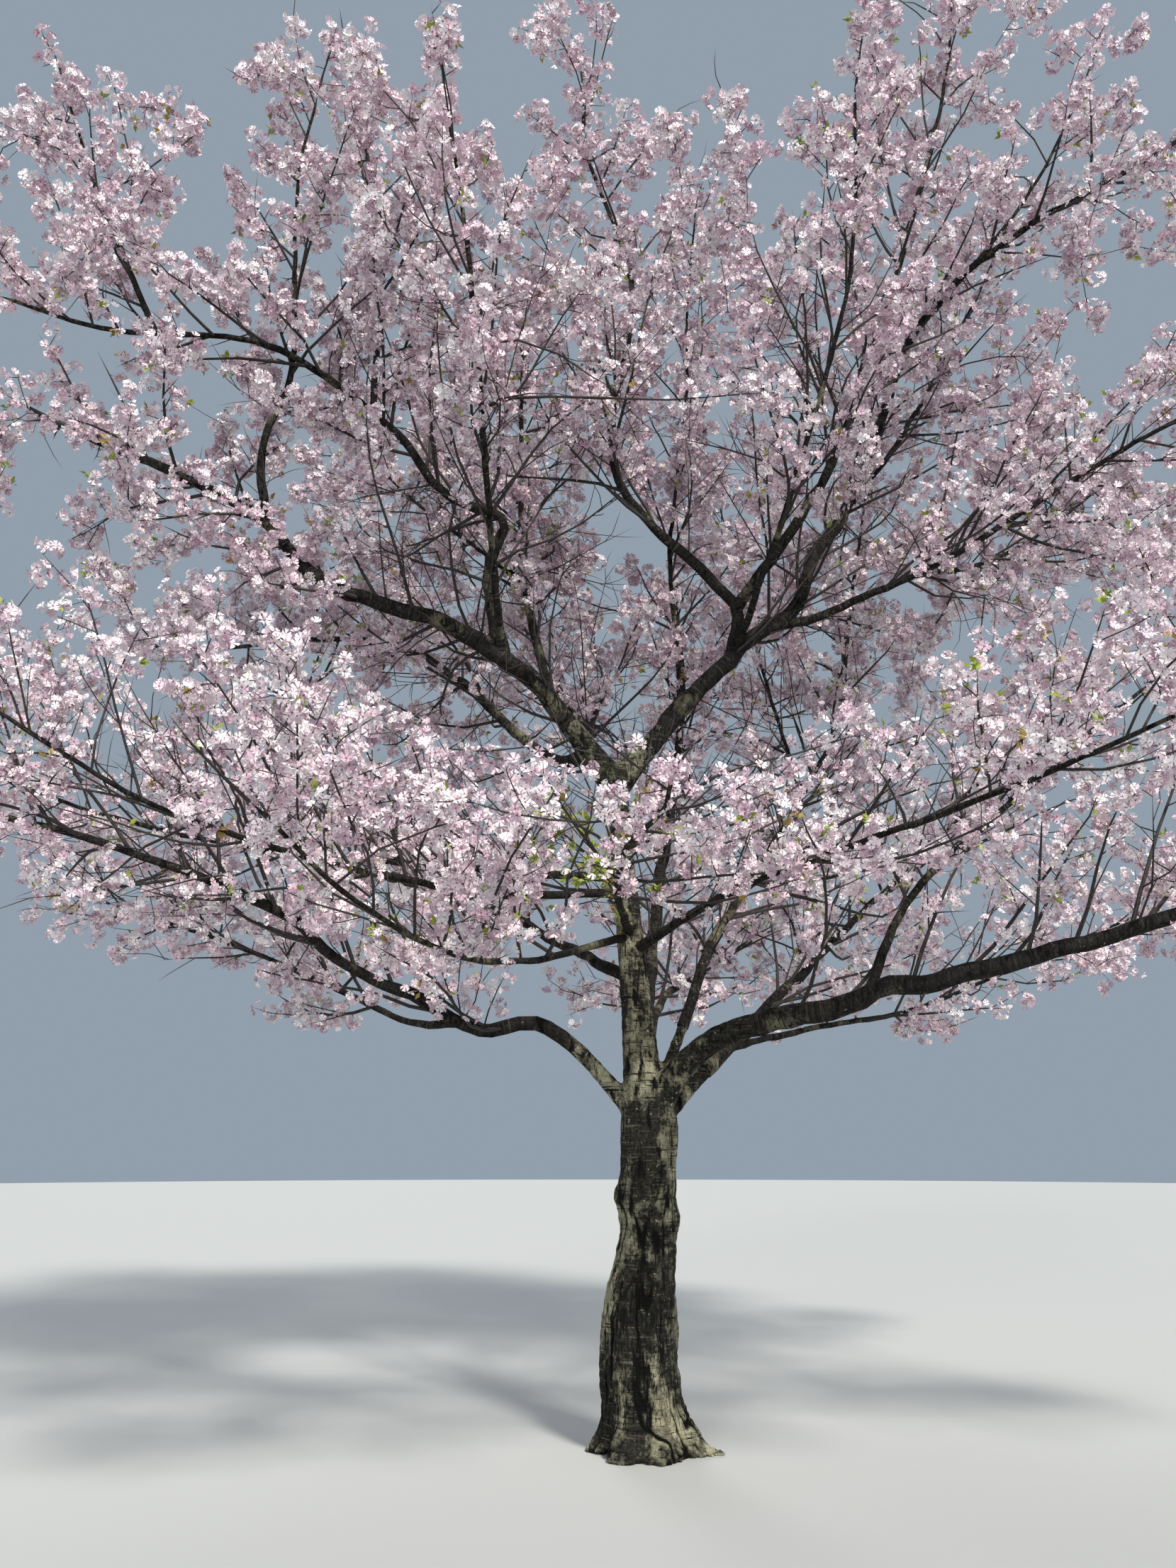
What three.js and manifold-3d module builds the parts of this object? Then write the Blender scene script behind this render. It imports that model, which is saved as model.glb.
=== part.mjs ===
// A cherry tree in full blossom: a trunk with its root flare, the leader and the boughs
// that spread from it, and the masses of blossom that the boughs carry.
// Millimetres, +Z up, origin at ground level in the middle of the trunk's flat foot.
// Bearings are degrees round +Z from +X; climb is degrees above level.
import * as THREE from "three";
import { mergeVertices } from "three/addons/utils/BufferGeometryUtils.js";
import Module from "manifold-3d";

const wasm = await Module();
wasm.setup();

// ---- driving sizes -------------------------------------------------------------------
const TRUNK_SIDES = 18; // facets round the trunk
const BOUGH_SIDES = 6; // facets round a bough
const BOUGH_STEP = 410; // length of bough between two rings of facets
const SOCKET = 170; // how far a bough's tip goes into the mass it carries
const TOUCH = 2; // clearance where a bough leaves its parent
const SOCKET_ROOM = 14; // clearance round a bough inside a mass
const MASS_ROOM = 8; // clearance between two neighbouring masses
const LUMP = 0.12; // how uneven a mass is, as a share of its half size
const MASS_ROUND = 10; // facets round a mass, and
const MASS_ALONG = 6; // from end to end of it

// Trunk: rings from the ground to the fork as [height, middle in X, mean radius].
const TRUNK_RINGS = [
  [0, 0, 262],
  [70, -4, 236],
  [160, -12, 220],
  [300, -32, 213],
  [480, -44, 213],
  [660, -40, 211],
  [820, -28, 203],
  [960, -6, 183],
  [1080, 12, 168],
  [1220, 20, 164],
  [1380, 20, 163],
  [1540, 20, 165],
  [1680, 26, 172],
  [1790, 32, 168],
  [1870, 38, 140],
];
const ROOTS = [
  // surface roots at the foot: [bearing, reach past the mean radius, half width in degrees]
  [-8, 190, 17],
  [58, 90, 20],
  [118, 70, 22],
  [176, 95, 18],
  [232, 80, 20],
  [292, 60, 20],
];
const ROOT_FADE = 115; // height over which the roots run out
const BURLS = [
  // swellings of the trunk: [height, bearing, stand-out, half height, half width in degrees]
  [1330, 190, 26, 90, 34],
  [1190, -8, 20, 70, 30],
  [560, 168, 14, 160, 34],
];
const TRUNK_AXIS = [
  // bearing, climb and length of each run of the trunk's middle line, ground to fork
  [180, 84, 420],
  [0, 88, 380],
  [0, 83, 403],
  [0, 90, 300],
  [0, 87, 300],
];

// Limbs: where each leaves its parent as a share of the parent's length, its radius at
// each end, and its runs as [bearing, climb, length]. `shown` is the share of it that is
// bare, up to the mass it carries; a limb without it lies inside the masses.
const LIMBS = {
  leader: { from: "trunk", at: 0.93, r: [112, 68], shown: 1, runs: [[153, 85, 2220]] },
  low_right: { from: "trunk", at: 0.97, r: [82, 20], shown: 0.66, runs: [[-21, 59, 270], [-33, 39, 360], [-32, 16, 380], [-25, 11, 1910], [-14, 18, 1400], [-5, 21, 1080]] },
  low_left: { from: "trunk", at: 0.95, r: [54, 15], shown: 0.6, runs: [[-168, 46, 690], [-167, 25, 250], [-170, -8, 300], [-160, 22, 460], [-156, 22, 410], [-139, 30, 530], [-172, 20, 1130], [-175, 12, 1230]] },
  back_right: { from: "trunk", at: 0.94, r: [54, 17], shown: 0.55, runs: [[42, 36, 840], [47, 32, 2000], [38, 35, 2190]] },
  inner_right: { from: "trunk", at: 1.0, r: [42, 15], shown: 0.56, runs: [[30, 64, 680], [54, 58, 470], [45, 48, 1800], [40, 56, 830], [63, 62, 1200]] },
  back_stem: { from: "trunk", at: 0.98, r: [60, 18], shown: 0.55, runs: [[87, 65, 830], [77, 55, 3510], [91, 69, 1080]] },
  back_low: { from: "trunk", at: 0.96, r: [40, 12], shown: 0.42, runs: [[82, 44, 1120], [71, 17, 1990], [75, 24, 1020]] },
  low_left_fork: { from: "low_left", at: 0.28, r: [26, 11], shown: 0.4, runs: [[137, 2, 370], [139, 19, 880], [154, 21, 1080], [160, 18, 1120]] },
  right_riser: { from: "low_right", at: 0.3, r: [30, 12], shown: 0.42, runs: [[20, 62, 560], [12, 40, 2440]] },
  back_right_low: { from: "back_right", at: 0.18, r: [24, 10], shown: 0.4, runs: [[41, 12, 710], [29, 11, 1170], [26, 20, 1190], [17, 21, 1110]] },
  front_left_low: { from: "leader", at: 0.54, r: [26, 9], shown: 0.42, runs: [[-122, -13, 1510], [-117, 5, 1020], [-124, 25, 790]] },
  left_mid: { from: "leader", at: 0.67, r: [30, 10], shown: 0.4, runs: [[-142, -7, 1160], [-146, 5, 1330], [-157, 17, 560], [-166, 29, 950]] },
  left_mid_back: { from: "leader", at: 0.71, r: [28, 10], shown: 0.4, runs: [[-176, 4, 2250], [-180, 12, 1080], [-180, 20, 1080]] },
  front_centre: { from: "leader", at: 0.55, r: [28, 9], shown: 0.34, runs: [[-97, 6, 780], [-88, 4, 900], [-78, 1, 650], [-88, 4, 480]] },
  front_right: { from: "leader", at: 0.5, r: [32, 10], shown: 0.36, runs: [[-49, 16, 890], [-51, 6, 1750], [-44, 12, 960]] },
  back_left: { from: "leader", at: 0.42, r: [40, 14], shown: 0.45, runs: [[126, 23, 1950], [133, 24, 2260]] },
  v_left: { from: "leader", at: 1.0, r: [76, 26], shown: 0.6, runs: [[-159, 45, 1130], [-166, 19, 1290], [-179, 48, 560], [-175, 25, 1380]] },
  v_right: { from: "leader", at: 1.0, r: [72, 20], shown: 0.6, runs: [[11, 50, 1330], [26, 41, 750], [35, 66, 440], [16, 57, 640], [8, 68, 980], [-14, 69, 560], [-33, 43, 750], [-39, 9, 1460]] },
  left_back_arm: { from: "v_left", at: 0.06, r: [42, 13], shown: 0.48, runs: [[140, 0, 280], [151, 39, 1830], [166, 5, 1900]] },
  back_upright: { from: "v_left", at: 0.06, r: [40, 12], shown: 0.42, runs: [[135, 44, 350], [128, 68, 1380], [99, 70, 1010], [95, 76, 2110]] },
  left_arch: { from: "v_left", at: 0.26, r: [45, 11], shown: 0.6, runs: [[-180, 81, 640], [0, 74, 350], [-168, 22, 400], [-168, 49, 600], [-165, 37, 430], [-164, 25, 620], [-163, -6, 1010], [-160, 7, 610]] },
  right_arm: { from: "v_right", at: 0.23, r: [34, 11], shown: 0.45, runs: [[-2, 19, 690], [-18, 19, 690], [-15, 28, 1730], [-15, 18, 840]] },
  centre_upright: { from: "v_right", at: 0.19, r: [44, 9], shown: 0.46, runs: [[-82, 81, 310], [-166, 48, 1250], [1, 86, 1650], [180, 75, 1290], [179, 87, 660]] },
  right_upright: { from: "centre_upright", at: 0.06, r: [40, 9], shown: 0.44, runs: [[-40, 42, 420], [-19, 56, 820], [-6, 72, 3320], [-17, 80, 860]] },
  front_left_riser: { from: "v_left", at: 0.26, r: [28, 9], shown: 0.34, runs: [[-94, 46, 1250], [-100, 66, 1200], [-150, 80, 1150]] },
  front_right_riser: { from: "v_right", at: 0.19, r: [28, 9], shown: 0.34, runs: [[-72, 38, 1150], [-64, 58, 1400], [-80, 76, 1150]] },
  left_upright: { from: "v_left", at: 0.68, r: [30, 9], runs: [[-179, 85, 570], [0, 75, 510], [-136, 88, 1730], [-20, 81, 650]] },
  arch_upright: { from: "left_arch", at: 0.47, r: [24, 8], runs: [[-172, 89, 1390], [-180, 79, 1750]] },
  arch_outer: { from: "left_arch", at: 0.8, r: [22, 8], runs: [[-172, 66, 1300], [-168, 70, 900]] },
  right_back_upright: { from: "v_right", at: 0.46, r: [26, 9], runs: [[22, 53, 890], [24, 60, 2450]] },
  back_left_upright: { from: "back_upright", at: 0.36, r: [22, 8], runs: [[131, 42, 2660], [141, 52, 1030]] },
  back_right_upright: { from: "inner_right", at: 0.59, r: [20, 8], runs: [[94, 53, 1830], [100, 63, 1350], [109, 72, 1050]] },
  back_mid: { from: "leader", at: 0.96, r: [30, 9], runs: [[102, 39, 880], [100, 34, 1160], [109, 38, 1210], [113, 57, 900], [104, 71, 640]] },
  back_mid_upright: { from: "back_stem", at: 0.62, r: [26, 8], runs: [[-69, 84, 740], [-118, 83, 1100], [-52, 79, 1230], [-68, 84, 1100], [-55, 81, 810]] },
  right_back_arm: { from: "right_arm", at: 0.3, r: [24, 9], runs: [[50, 24, 560], [36, 25, 750], [27, 34, 800], [22, 40, 860]] },
  far_right_upright: { from: "v_right", at: 0.72, r: [22, 8], runs: [[-24, 42, 640], [-20, 52, 860], [-12, 64, 950]] },
  back_right_riser: { from: "inner_right", at: 0.86, r: [20, 8], runs: [[37, 77, 850], [9, 79, 920], [-44, 81, 910]] },
};

// Masses of blossom: each lies along one limb from share `a` to share `b` of its length,
// with half its width and half its depth across it, and how far it is lifted off it.
const MASSES = {
  skirt_left: { on: "low_left", a: 0.56, b: 1.1, wide: 980, deep: 540, lift: 60 },
  skirt_left_back: { on: "low_left_fork", a: 0.36, b: 1.16, wide: 930, deep: 520, lift: 80 },
  skirt_front_left: { on: "front_left_low", a: 0.36, b: 1.2, wide: 800, deep: 390, lift: 110 },
  mid_left_front: { on: "left_mid", a: 0.34, b: 1.16, wide: 880, deep: 600, lift: 170 },
  mid_left: { on: "left_mid_back", a: 0.32, b: 1.18, wide: 950, deep: 800, lift: 320 },
  skirt_front: { on: "front_centre", a: 0.26, b: 1.16, wide: 860, deep: 370, lift: 60 },
  skirt_front_right: { on: "front_right", a: 0.32, b: 1.16, wide: 900, deep: 460, lift: 80 },
  skirt_right: { on: "low_right", a: 0.58, b: 1.1, wide: 1000, deep: 580, lift: 120 },
  mid_right: { on: "right_riser", a: 0.36, b: 1.32, wide: 950, deep: 900, lift: 200 },
  skirt_right_back: { on: "back_right_low", a: 0.36, b: 1.14, wide: 950, deep: 540, lift: 60 },
  mid_right_back: { on: "back_right", a: 0.5, b: 1.16, wide: 1050, deep: 1000, lift: 300 },
  skirt_back: { on: "back_low", a: 0.38, b: 1.16, wide: 1060, deep: 620, lift: 160 },
  mid_back_left: { on: "back_left", a: 0.4, b: 1.2, wide: 1080, deep: 950, lift: 260 },
  left_outer: { on: "v_left", a: 0.56, b: 1.22, wide: 950, deep: 860, lift: -40 },
  left_back: { on: "left_back_arm", a: 0.36, b: 1.18, wide: 1050, deep: 930, lift: 60 },
  back_centre: { on: "back_stem", a: 0.5, b: 1.18, wide: 1200, deep: 1120, lift: 0 },
  inner_right_mass: { on: "inner_right", a: 0.52, b: 1.32, wide: 1000, deep: 900, lift: 0 },
  right_outer: { on: "right_arm", a: 0.4, b: 1.18, wide: 1050, deep: 960, lift: -20 },
  front_left_upper: { on: "front_left_riser", a: 0.32, b: 1.12, wide: 860, deep: 760, lift: 0 },
  front_right_upper: { on: "front_right_riser", a: 0.32, b: 1.12, wide: 860, deep: 760, lift: 0 },
  top_left: { on: "left_upright", a: 0.22, b: 1.1, wide: 1000, deep: 900, lift: 0 },
  arch_end: { on: "left_arch", a: 0.56, b: 1.14, wide: 960, deep: 760, lift: 60 },
  top_far_left: { on: "arch_outer", a: 0.2, b: 1.1, wide: 800, deep: 820, lift: 0 },
  top_back: { on: "back_upright", a: 0.42, b: 1.1, wide: 1080, deep: 1000, lift: 0 },
  top_back_left: { on: "back_left_upright", a: 0.28, b: 1.16, wide: 1100, deep: 980, lift: 0 },
  top_centre: { on: "centre_upright", a: 0.4, b: 1.06, wide: 920, deep: 940, lift: 0 },
  top_right: { on: "right_upright", a: 0.38, b: 1.06, wide: 1060, deep: 960, lift: 0 },
  top_far_right: { on: "v_right", a: 0.58, b: 1.12, wide: 1120, deep: 1050, lift: 420 },
  top_right_back: { on: "right_back_upright", a: 0.2, b: 1.14, wide: 1060, deep: 1000, lift: 0 },
  top_back_right: { on: "back_right_upright", a: 0.26, b: 1.14, wide: 1100, deep: 1050, lift: 0 },
  back_mid: { on: "back_mid", a: 0.5, b: 1.12, wide: 1050, deep: 850, lift: 0 },
  top_mid_back: { on: "back_mid_upright", a: 0.42, b: 1.06, wide: 960, deep: 920, lift: 0 },
  right_back: { on: "right_back_arm", a: 0.2, b: 1.12, wide: 980, deep: 960, lift: -80 },
};

// ---- colours -------------------------------------------------------------------------
const bark = new THREE.MeshStandardMaterial({ color: 0x3b352c, roughness: 0.92, metalness: 0 });
const boughBark = new THREE.MeshStandardMaterial({ color: 0x2c2824, roughness: 0.9, metalness: 0 });
const blossom = new THREE.MeshStandardMaterial({ color: 0xe3c9d2, roughness: 0.8, metalness: 0 });

// ---- limb lines ----------------------------------------------------------------------
const rad = THREE.MathUtils.degToRad;

function stepAlong([bearing, climb, length]) {
  const flat = Math.cos(rad(climb)) * length;
  return new THREE.Vector3(
    flat * Math.cos(rad(bearing)),
    flat * Math.sin(rad(bearing)),
    Math.sin(rad(climb)) * length,
  );
}

function lineFrom(start, runs) {
  const points = [start.clone()];
  for (const run of runs) points.push(points.at(-1).clone().add(stepAlong(run)));
  return new THREE.CatmullRomCurve3(points, false, "centripetal");
}

const lines = { trunk: lineFrom(new THREE.Vector3(0, 0, 0), TRUNK_AXIS) };
for (const [name, limb] of Object.entries(LIMBS))
  lines[name] = lineFrom(lines[limb.from].getPointAt(limb.at), limb.runs);

// ---- solids --------------------------------------------------------------------------
function solidOf(geometry) {
  geometry.deleteAttribute("normal");
  geometry.deleteAttribute("uv");
  const merged = mergeVertices(geometry, 0.01);
  return new wasm.Manifold(
    new wasm.Mesh({
      numProp: 3,
      vertProperties: new Float32Array(merged.attributes.position.array),
      triVerts: new Uint32Array(merged.index.array),
    }),
  );
}

function geometryOf(solid) {
  const made = solid.getMesh();
  const position = new Float32Array(made.numVert * 3);
  for (let i = 0; i < made.numVert; i++)
    for (let k = 0; k < 3; k++) position[i * 3 + k] = made.vertProperties[i * made.numProp + k];
  const geometry = new THREE.BufferGeometry();
  geometry.setAttribute("position", new THREE.BufferAttribute(position, 3));
  geometry.setIndex(new THREE.BufferAttribute(new Uint32Array(made.triVerts), 1));
  geometry.computeVertexNormals();
  return geometry;
}

function largest(solid) {
  const bodies = solid.decompose();
  return bodies.reduce((best, body) => (body.volume() > best.volume() ? body : best));
}

// How far round two bearings lie apart, in degrees.
const apart = (a, b) => Math.abs(((a - b + 540) % 360) - 180);

function trunkRadius(bearing, height, mean) {
  let r = mean;
  const low = Math.exp(-height / ROOT_FADE);
  for (const [at, reach, half] of ROOTS) {
    const d = apart(bearing, at) / half;
    r += reach * low * Math.exp(-d * d);
  }
  for (const [z, at, out, tall, half] of BURLS) {
    const d = apart(bearing, at) / half;
    const e = (height - z) / tall;
    r += out * Math.exp(-d * d - e * e);
  }
  return r * (1 + 0.022 * Math.sin(rad(bearing * 3 + height * 0.05)));
}

function trunkGeometry(grow) {
  const rings = TRUNK_RINGS.length;
  const g = new THREE.CylinderGeometry(1, 1, 1, TRUNK_SIDES, rings - 1);
  const p = g.attributes.position;
  for (let i = 0; i < p.count; i++) {
    const across = Math.hypot(p.getX(i), p.getZ(i));
    const bearing = THREE.MathUtils.radToDeg(Math.atan2(-p.getZ(i), p.getX(i)));
    const row = Math.round((p.getY(i) + 0.5) * (rings - 1));
    const [z, x, mean] = TRUNK_RINGS[row];
    const r = across > 0.5 ? trunkRadius(bearing, z, mean) + grow : 0;
    p.setXYZ(i, x + r * Math.cos(rad(bearing)), r * Math.sin(rad(bearing)), z + (row === rings - 1 ? grow : 0));
  }
  return g;
}

// A tapering limb along the first `share` of its line.
function limbGeometry(line, [r0, r1], share, grow) {
  const steps = Math.max(2, Math.round((line.getLength() * share) / BOUGH_STEP));
  const frames = line.computeFrenetFrames(60, false);
  const g = new THREE.CylinderGeometry(1, 1, 1, BOUGH_SIDES, steps);
  const p = g.attributes.position;
  for (let i = 0; i < p.count; i++) {
    const across = Math.hypot(p.getX(i), p.getZ(i));
    const turn = Math.atan2(-p.getZ(i), p.getX(i));
    const row = Math.round((p.getY(i) + 0.5) * steps) / steps;
    const t = row * share;
    const at = line.getPointAt(t);
    const k = Math.min(60, Math.round(t * 60));
    const r = across > 0.5 ? THREE.MathUtils.lerp(r0, r1, Math.pow(t, 0.8)) + grow : 0;
    at.addScaledVector(frames.normals[k], r * Math.cos(turn));
    at.addScaledVector(frames.binormals[k], r * Math.sin(turn));
    if (row === 0) at.addScaledVector(frames.tangents[0], -grow);
    if (row === 1) at.addScaledVector(frames.tangents[k], grow);
    p.setXYZ(i, at.x, at.y, at.z);
  }
  return g;
}

// One uneven mass, star-shaped round its middle.
function massGeometry({ on, a, b, wide, deep, lift }, seed, grow) {
  const line = lines[on];
  const start = line.getPointAt(a);
  const end = line.getPointAt(Math.min(b, 1));
  if (b > 1) end.addScaledVector(line.getTangentAt(1), (b - 1) * line.getLength());
  const along = end.clone().sub(start);
  const half = along.length() / 2;
  along.normalize();
  const side = new THREE.Vector3(0, 0, 1).cross(along);
  if (side.length() < 0.2) side.set(1, 0, 0).addScaledVector(along, -along.x);
  side.normalize();
  const up = along.clone().cross(side).normalize();
  const middle = start.clone().add(end).multiplyScalar(0.5);
  middle.z += lift;
  const g = new THREE.SphereGeometry(1, MASS_ROUND, MASS_ALONG);
  g.rotateZ(-Math.PI / 2); // its poles lie along the limb
  const p = g.attributes.position;
  const d = new THREE.Vector3();
  for (let i = 0; i < p.count; i++) {
    d.fromBufferAttribute(p, i).normalize();
    const uneven =
      1 +
      LUMP * Math.sin(3.1 * d.x + 1.9 * d.y + seed * 1.7) +
      LUMP * 0.7 * Math.sin(4.3 * d.y - 2.2 * d.z + seed * 2.9) +
      LUMP * 0.6 * Math.sin(5.4 * d.z + 3.3 * d.x + seed * 4.1);
    const q = new THREE.Vector3()
      .addScaledVector(along, d.x * half * uneven)
      .addScaledVector(side, d.y * wide * uneven)
      .addScaledVector(up, d.z * deep * uneven);
    q.setLength(q.length() + grow);
    q.add(middle);
    p.setXYZ(i, q.x, q.y, q.z);
  }
  return g;
}

// ---- assembly ------------------------------------------------------------------------
const tree = new THREE.Group();
tree.name = "cherry_tree";
function add(name, solid, material) {
  const mesh = new THREE.Mesh(geometryOf(solid), material);
  mesh.name = name;
  tree.add(mesh);
}

const woods = []; // every wooden solid so far, a little grown, to cut later ones with
const trunk = solidOf(trunkGeometry(0));
add("trunk", trunk, bark);
woods.push(solidOf(trunkGeometry(TOUCH)));

for (const [name, limb] of Object.entries(LIMBS)) {
  if (limb.shown === undefined) continue;
  const share = Math.min(1, limb.shown + (limb.shown < 1 ? SOCKET / lines[name].getLength() : 0));
  let solid = solidOf(limbGeometry(lines[name], limb.r, share, 0));
  for (const wood of woods) solid = solid.subtract(wood);
  add(name, largest(solid), boughBark);
  woods.push(solidOf(limbGeometry(lines[name], limb.r, share, TOUCH)));
}

const sockets = [solidOf(trunkGeometry(SOCKET_ROOM))];
for (const [name, limb] of Object.entries(LIMBS)) {
  if (limb.shown === undefined) continue;
  const share = Math.min(1, limb.shown + (limb.shown < 1 ? SOCKET / lines[name].getLength() : 0));
  sockets.push(solidOf(limbGeometry(lines[name], limb.r, share, SOCKET_ROOM)));
}

const earlier = [];
let seed = 1;
for (const [name, mass] of Object.entries(MASSES)) {
  let solid = solidOf(massGeometry(mass, seed, 0));
  for (const other of earlier) solid = solid.subtract(other);
  for (const socket of sockets) solid = solid.subtract(socket);
  add("blossom_" + name, largest(solid), blossom);
  earlier.push(solidOf(massGeometry(mass, seed, MASS_ROOM)));
  seed += 1;
}

export default tree;
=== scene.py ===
"""A cherry tree in full blossom: barked trunk and boughs, twigs grown on from them by a
seeded rule, and the blossom and young leaves that the twigs carry."""

import math

import bmesh
import bpy
import numpy as np
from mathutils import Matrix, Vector, noise


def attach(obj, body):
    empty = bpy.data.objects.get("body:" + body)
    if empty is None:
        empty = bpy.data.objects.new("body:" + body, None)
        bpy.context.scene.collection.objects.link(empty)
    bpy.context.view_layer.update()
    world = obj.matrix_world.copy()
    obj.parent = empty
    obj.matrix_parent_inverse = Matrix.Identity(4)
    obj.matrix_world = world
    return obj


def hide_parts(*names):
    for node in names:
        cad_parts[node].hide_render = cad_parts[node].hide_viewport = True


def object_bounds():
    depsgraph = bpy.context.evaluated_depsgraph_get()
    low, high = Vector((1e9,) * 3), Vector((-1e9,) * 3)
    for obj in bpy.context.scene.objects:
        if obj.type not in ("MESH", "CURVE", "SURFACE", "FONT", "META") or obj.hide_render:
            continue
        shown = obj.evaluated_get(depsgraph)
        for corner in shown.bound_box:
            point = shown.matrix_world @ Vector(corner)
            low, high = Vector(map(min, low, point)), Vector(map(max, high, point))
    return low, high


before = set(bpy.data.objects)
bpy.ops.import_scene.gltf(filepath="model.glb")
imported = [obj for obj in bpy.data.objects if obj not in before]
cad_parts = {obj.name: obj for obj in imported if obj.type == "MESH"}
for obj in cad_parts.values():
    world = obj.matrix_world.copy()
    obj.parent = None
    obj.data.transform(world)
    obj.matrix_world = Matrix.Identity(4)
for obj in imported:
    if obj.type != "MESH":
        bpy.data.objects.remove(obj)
CAD_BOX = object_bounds()
rng = np.random.default_rng(20417)

# ---- sizes, shared with the solid model (millimetres and degrees there, metres here) ----
TRUNK_RINGS = [
    # height, middle in X, mean radius
    (0, 0, 262),
    (70, -4, 236),
    (160, -12, 220),
    (300, -32, 213),
    (480, -44, 213),
    (660, -40, 211),
    (820, -28, 203),
    (960, -6, 183),
    (1080, 12, 168),
    (1220, 20, 164),
    (1380, 20, 163),
    (1540, 20, 165),
    (1680, 26, 172),
    (1790, 32, 168),
    (1870, 38, 140),
]
ROOTS = [
    # bearing, reach past the mean radius, half width in degrees
    (-8, 190, 17),
    (58, 90, 20),
    (118, 70, 22),
    (176, 95, 18),
    (232, 80, 20),
    (292, 60, 20),
]
ROOT_FADE = 115
BURLS = [
    # height, bearing, stand-out, half height, half width in degrees
    (1330, 190, 26, 90, 34),
    (1190, -8, 20, 70, 30),
    (560, 168, 14, 160, 34),
]
TRUNK_AXIS = [(180, 84, 420), (0, 88, 380), (0, 83, 403), (0, 90, 300), (0, 87, 300)]

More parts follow.
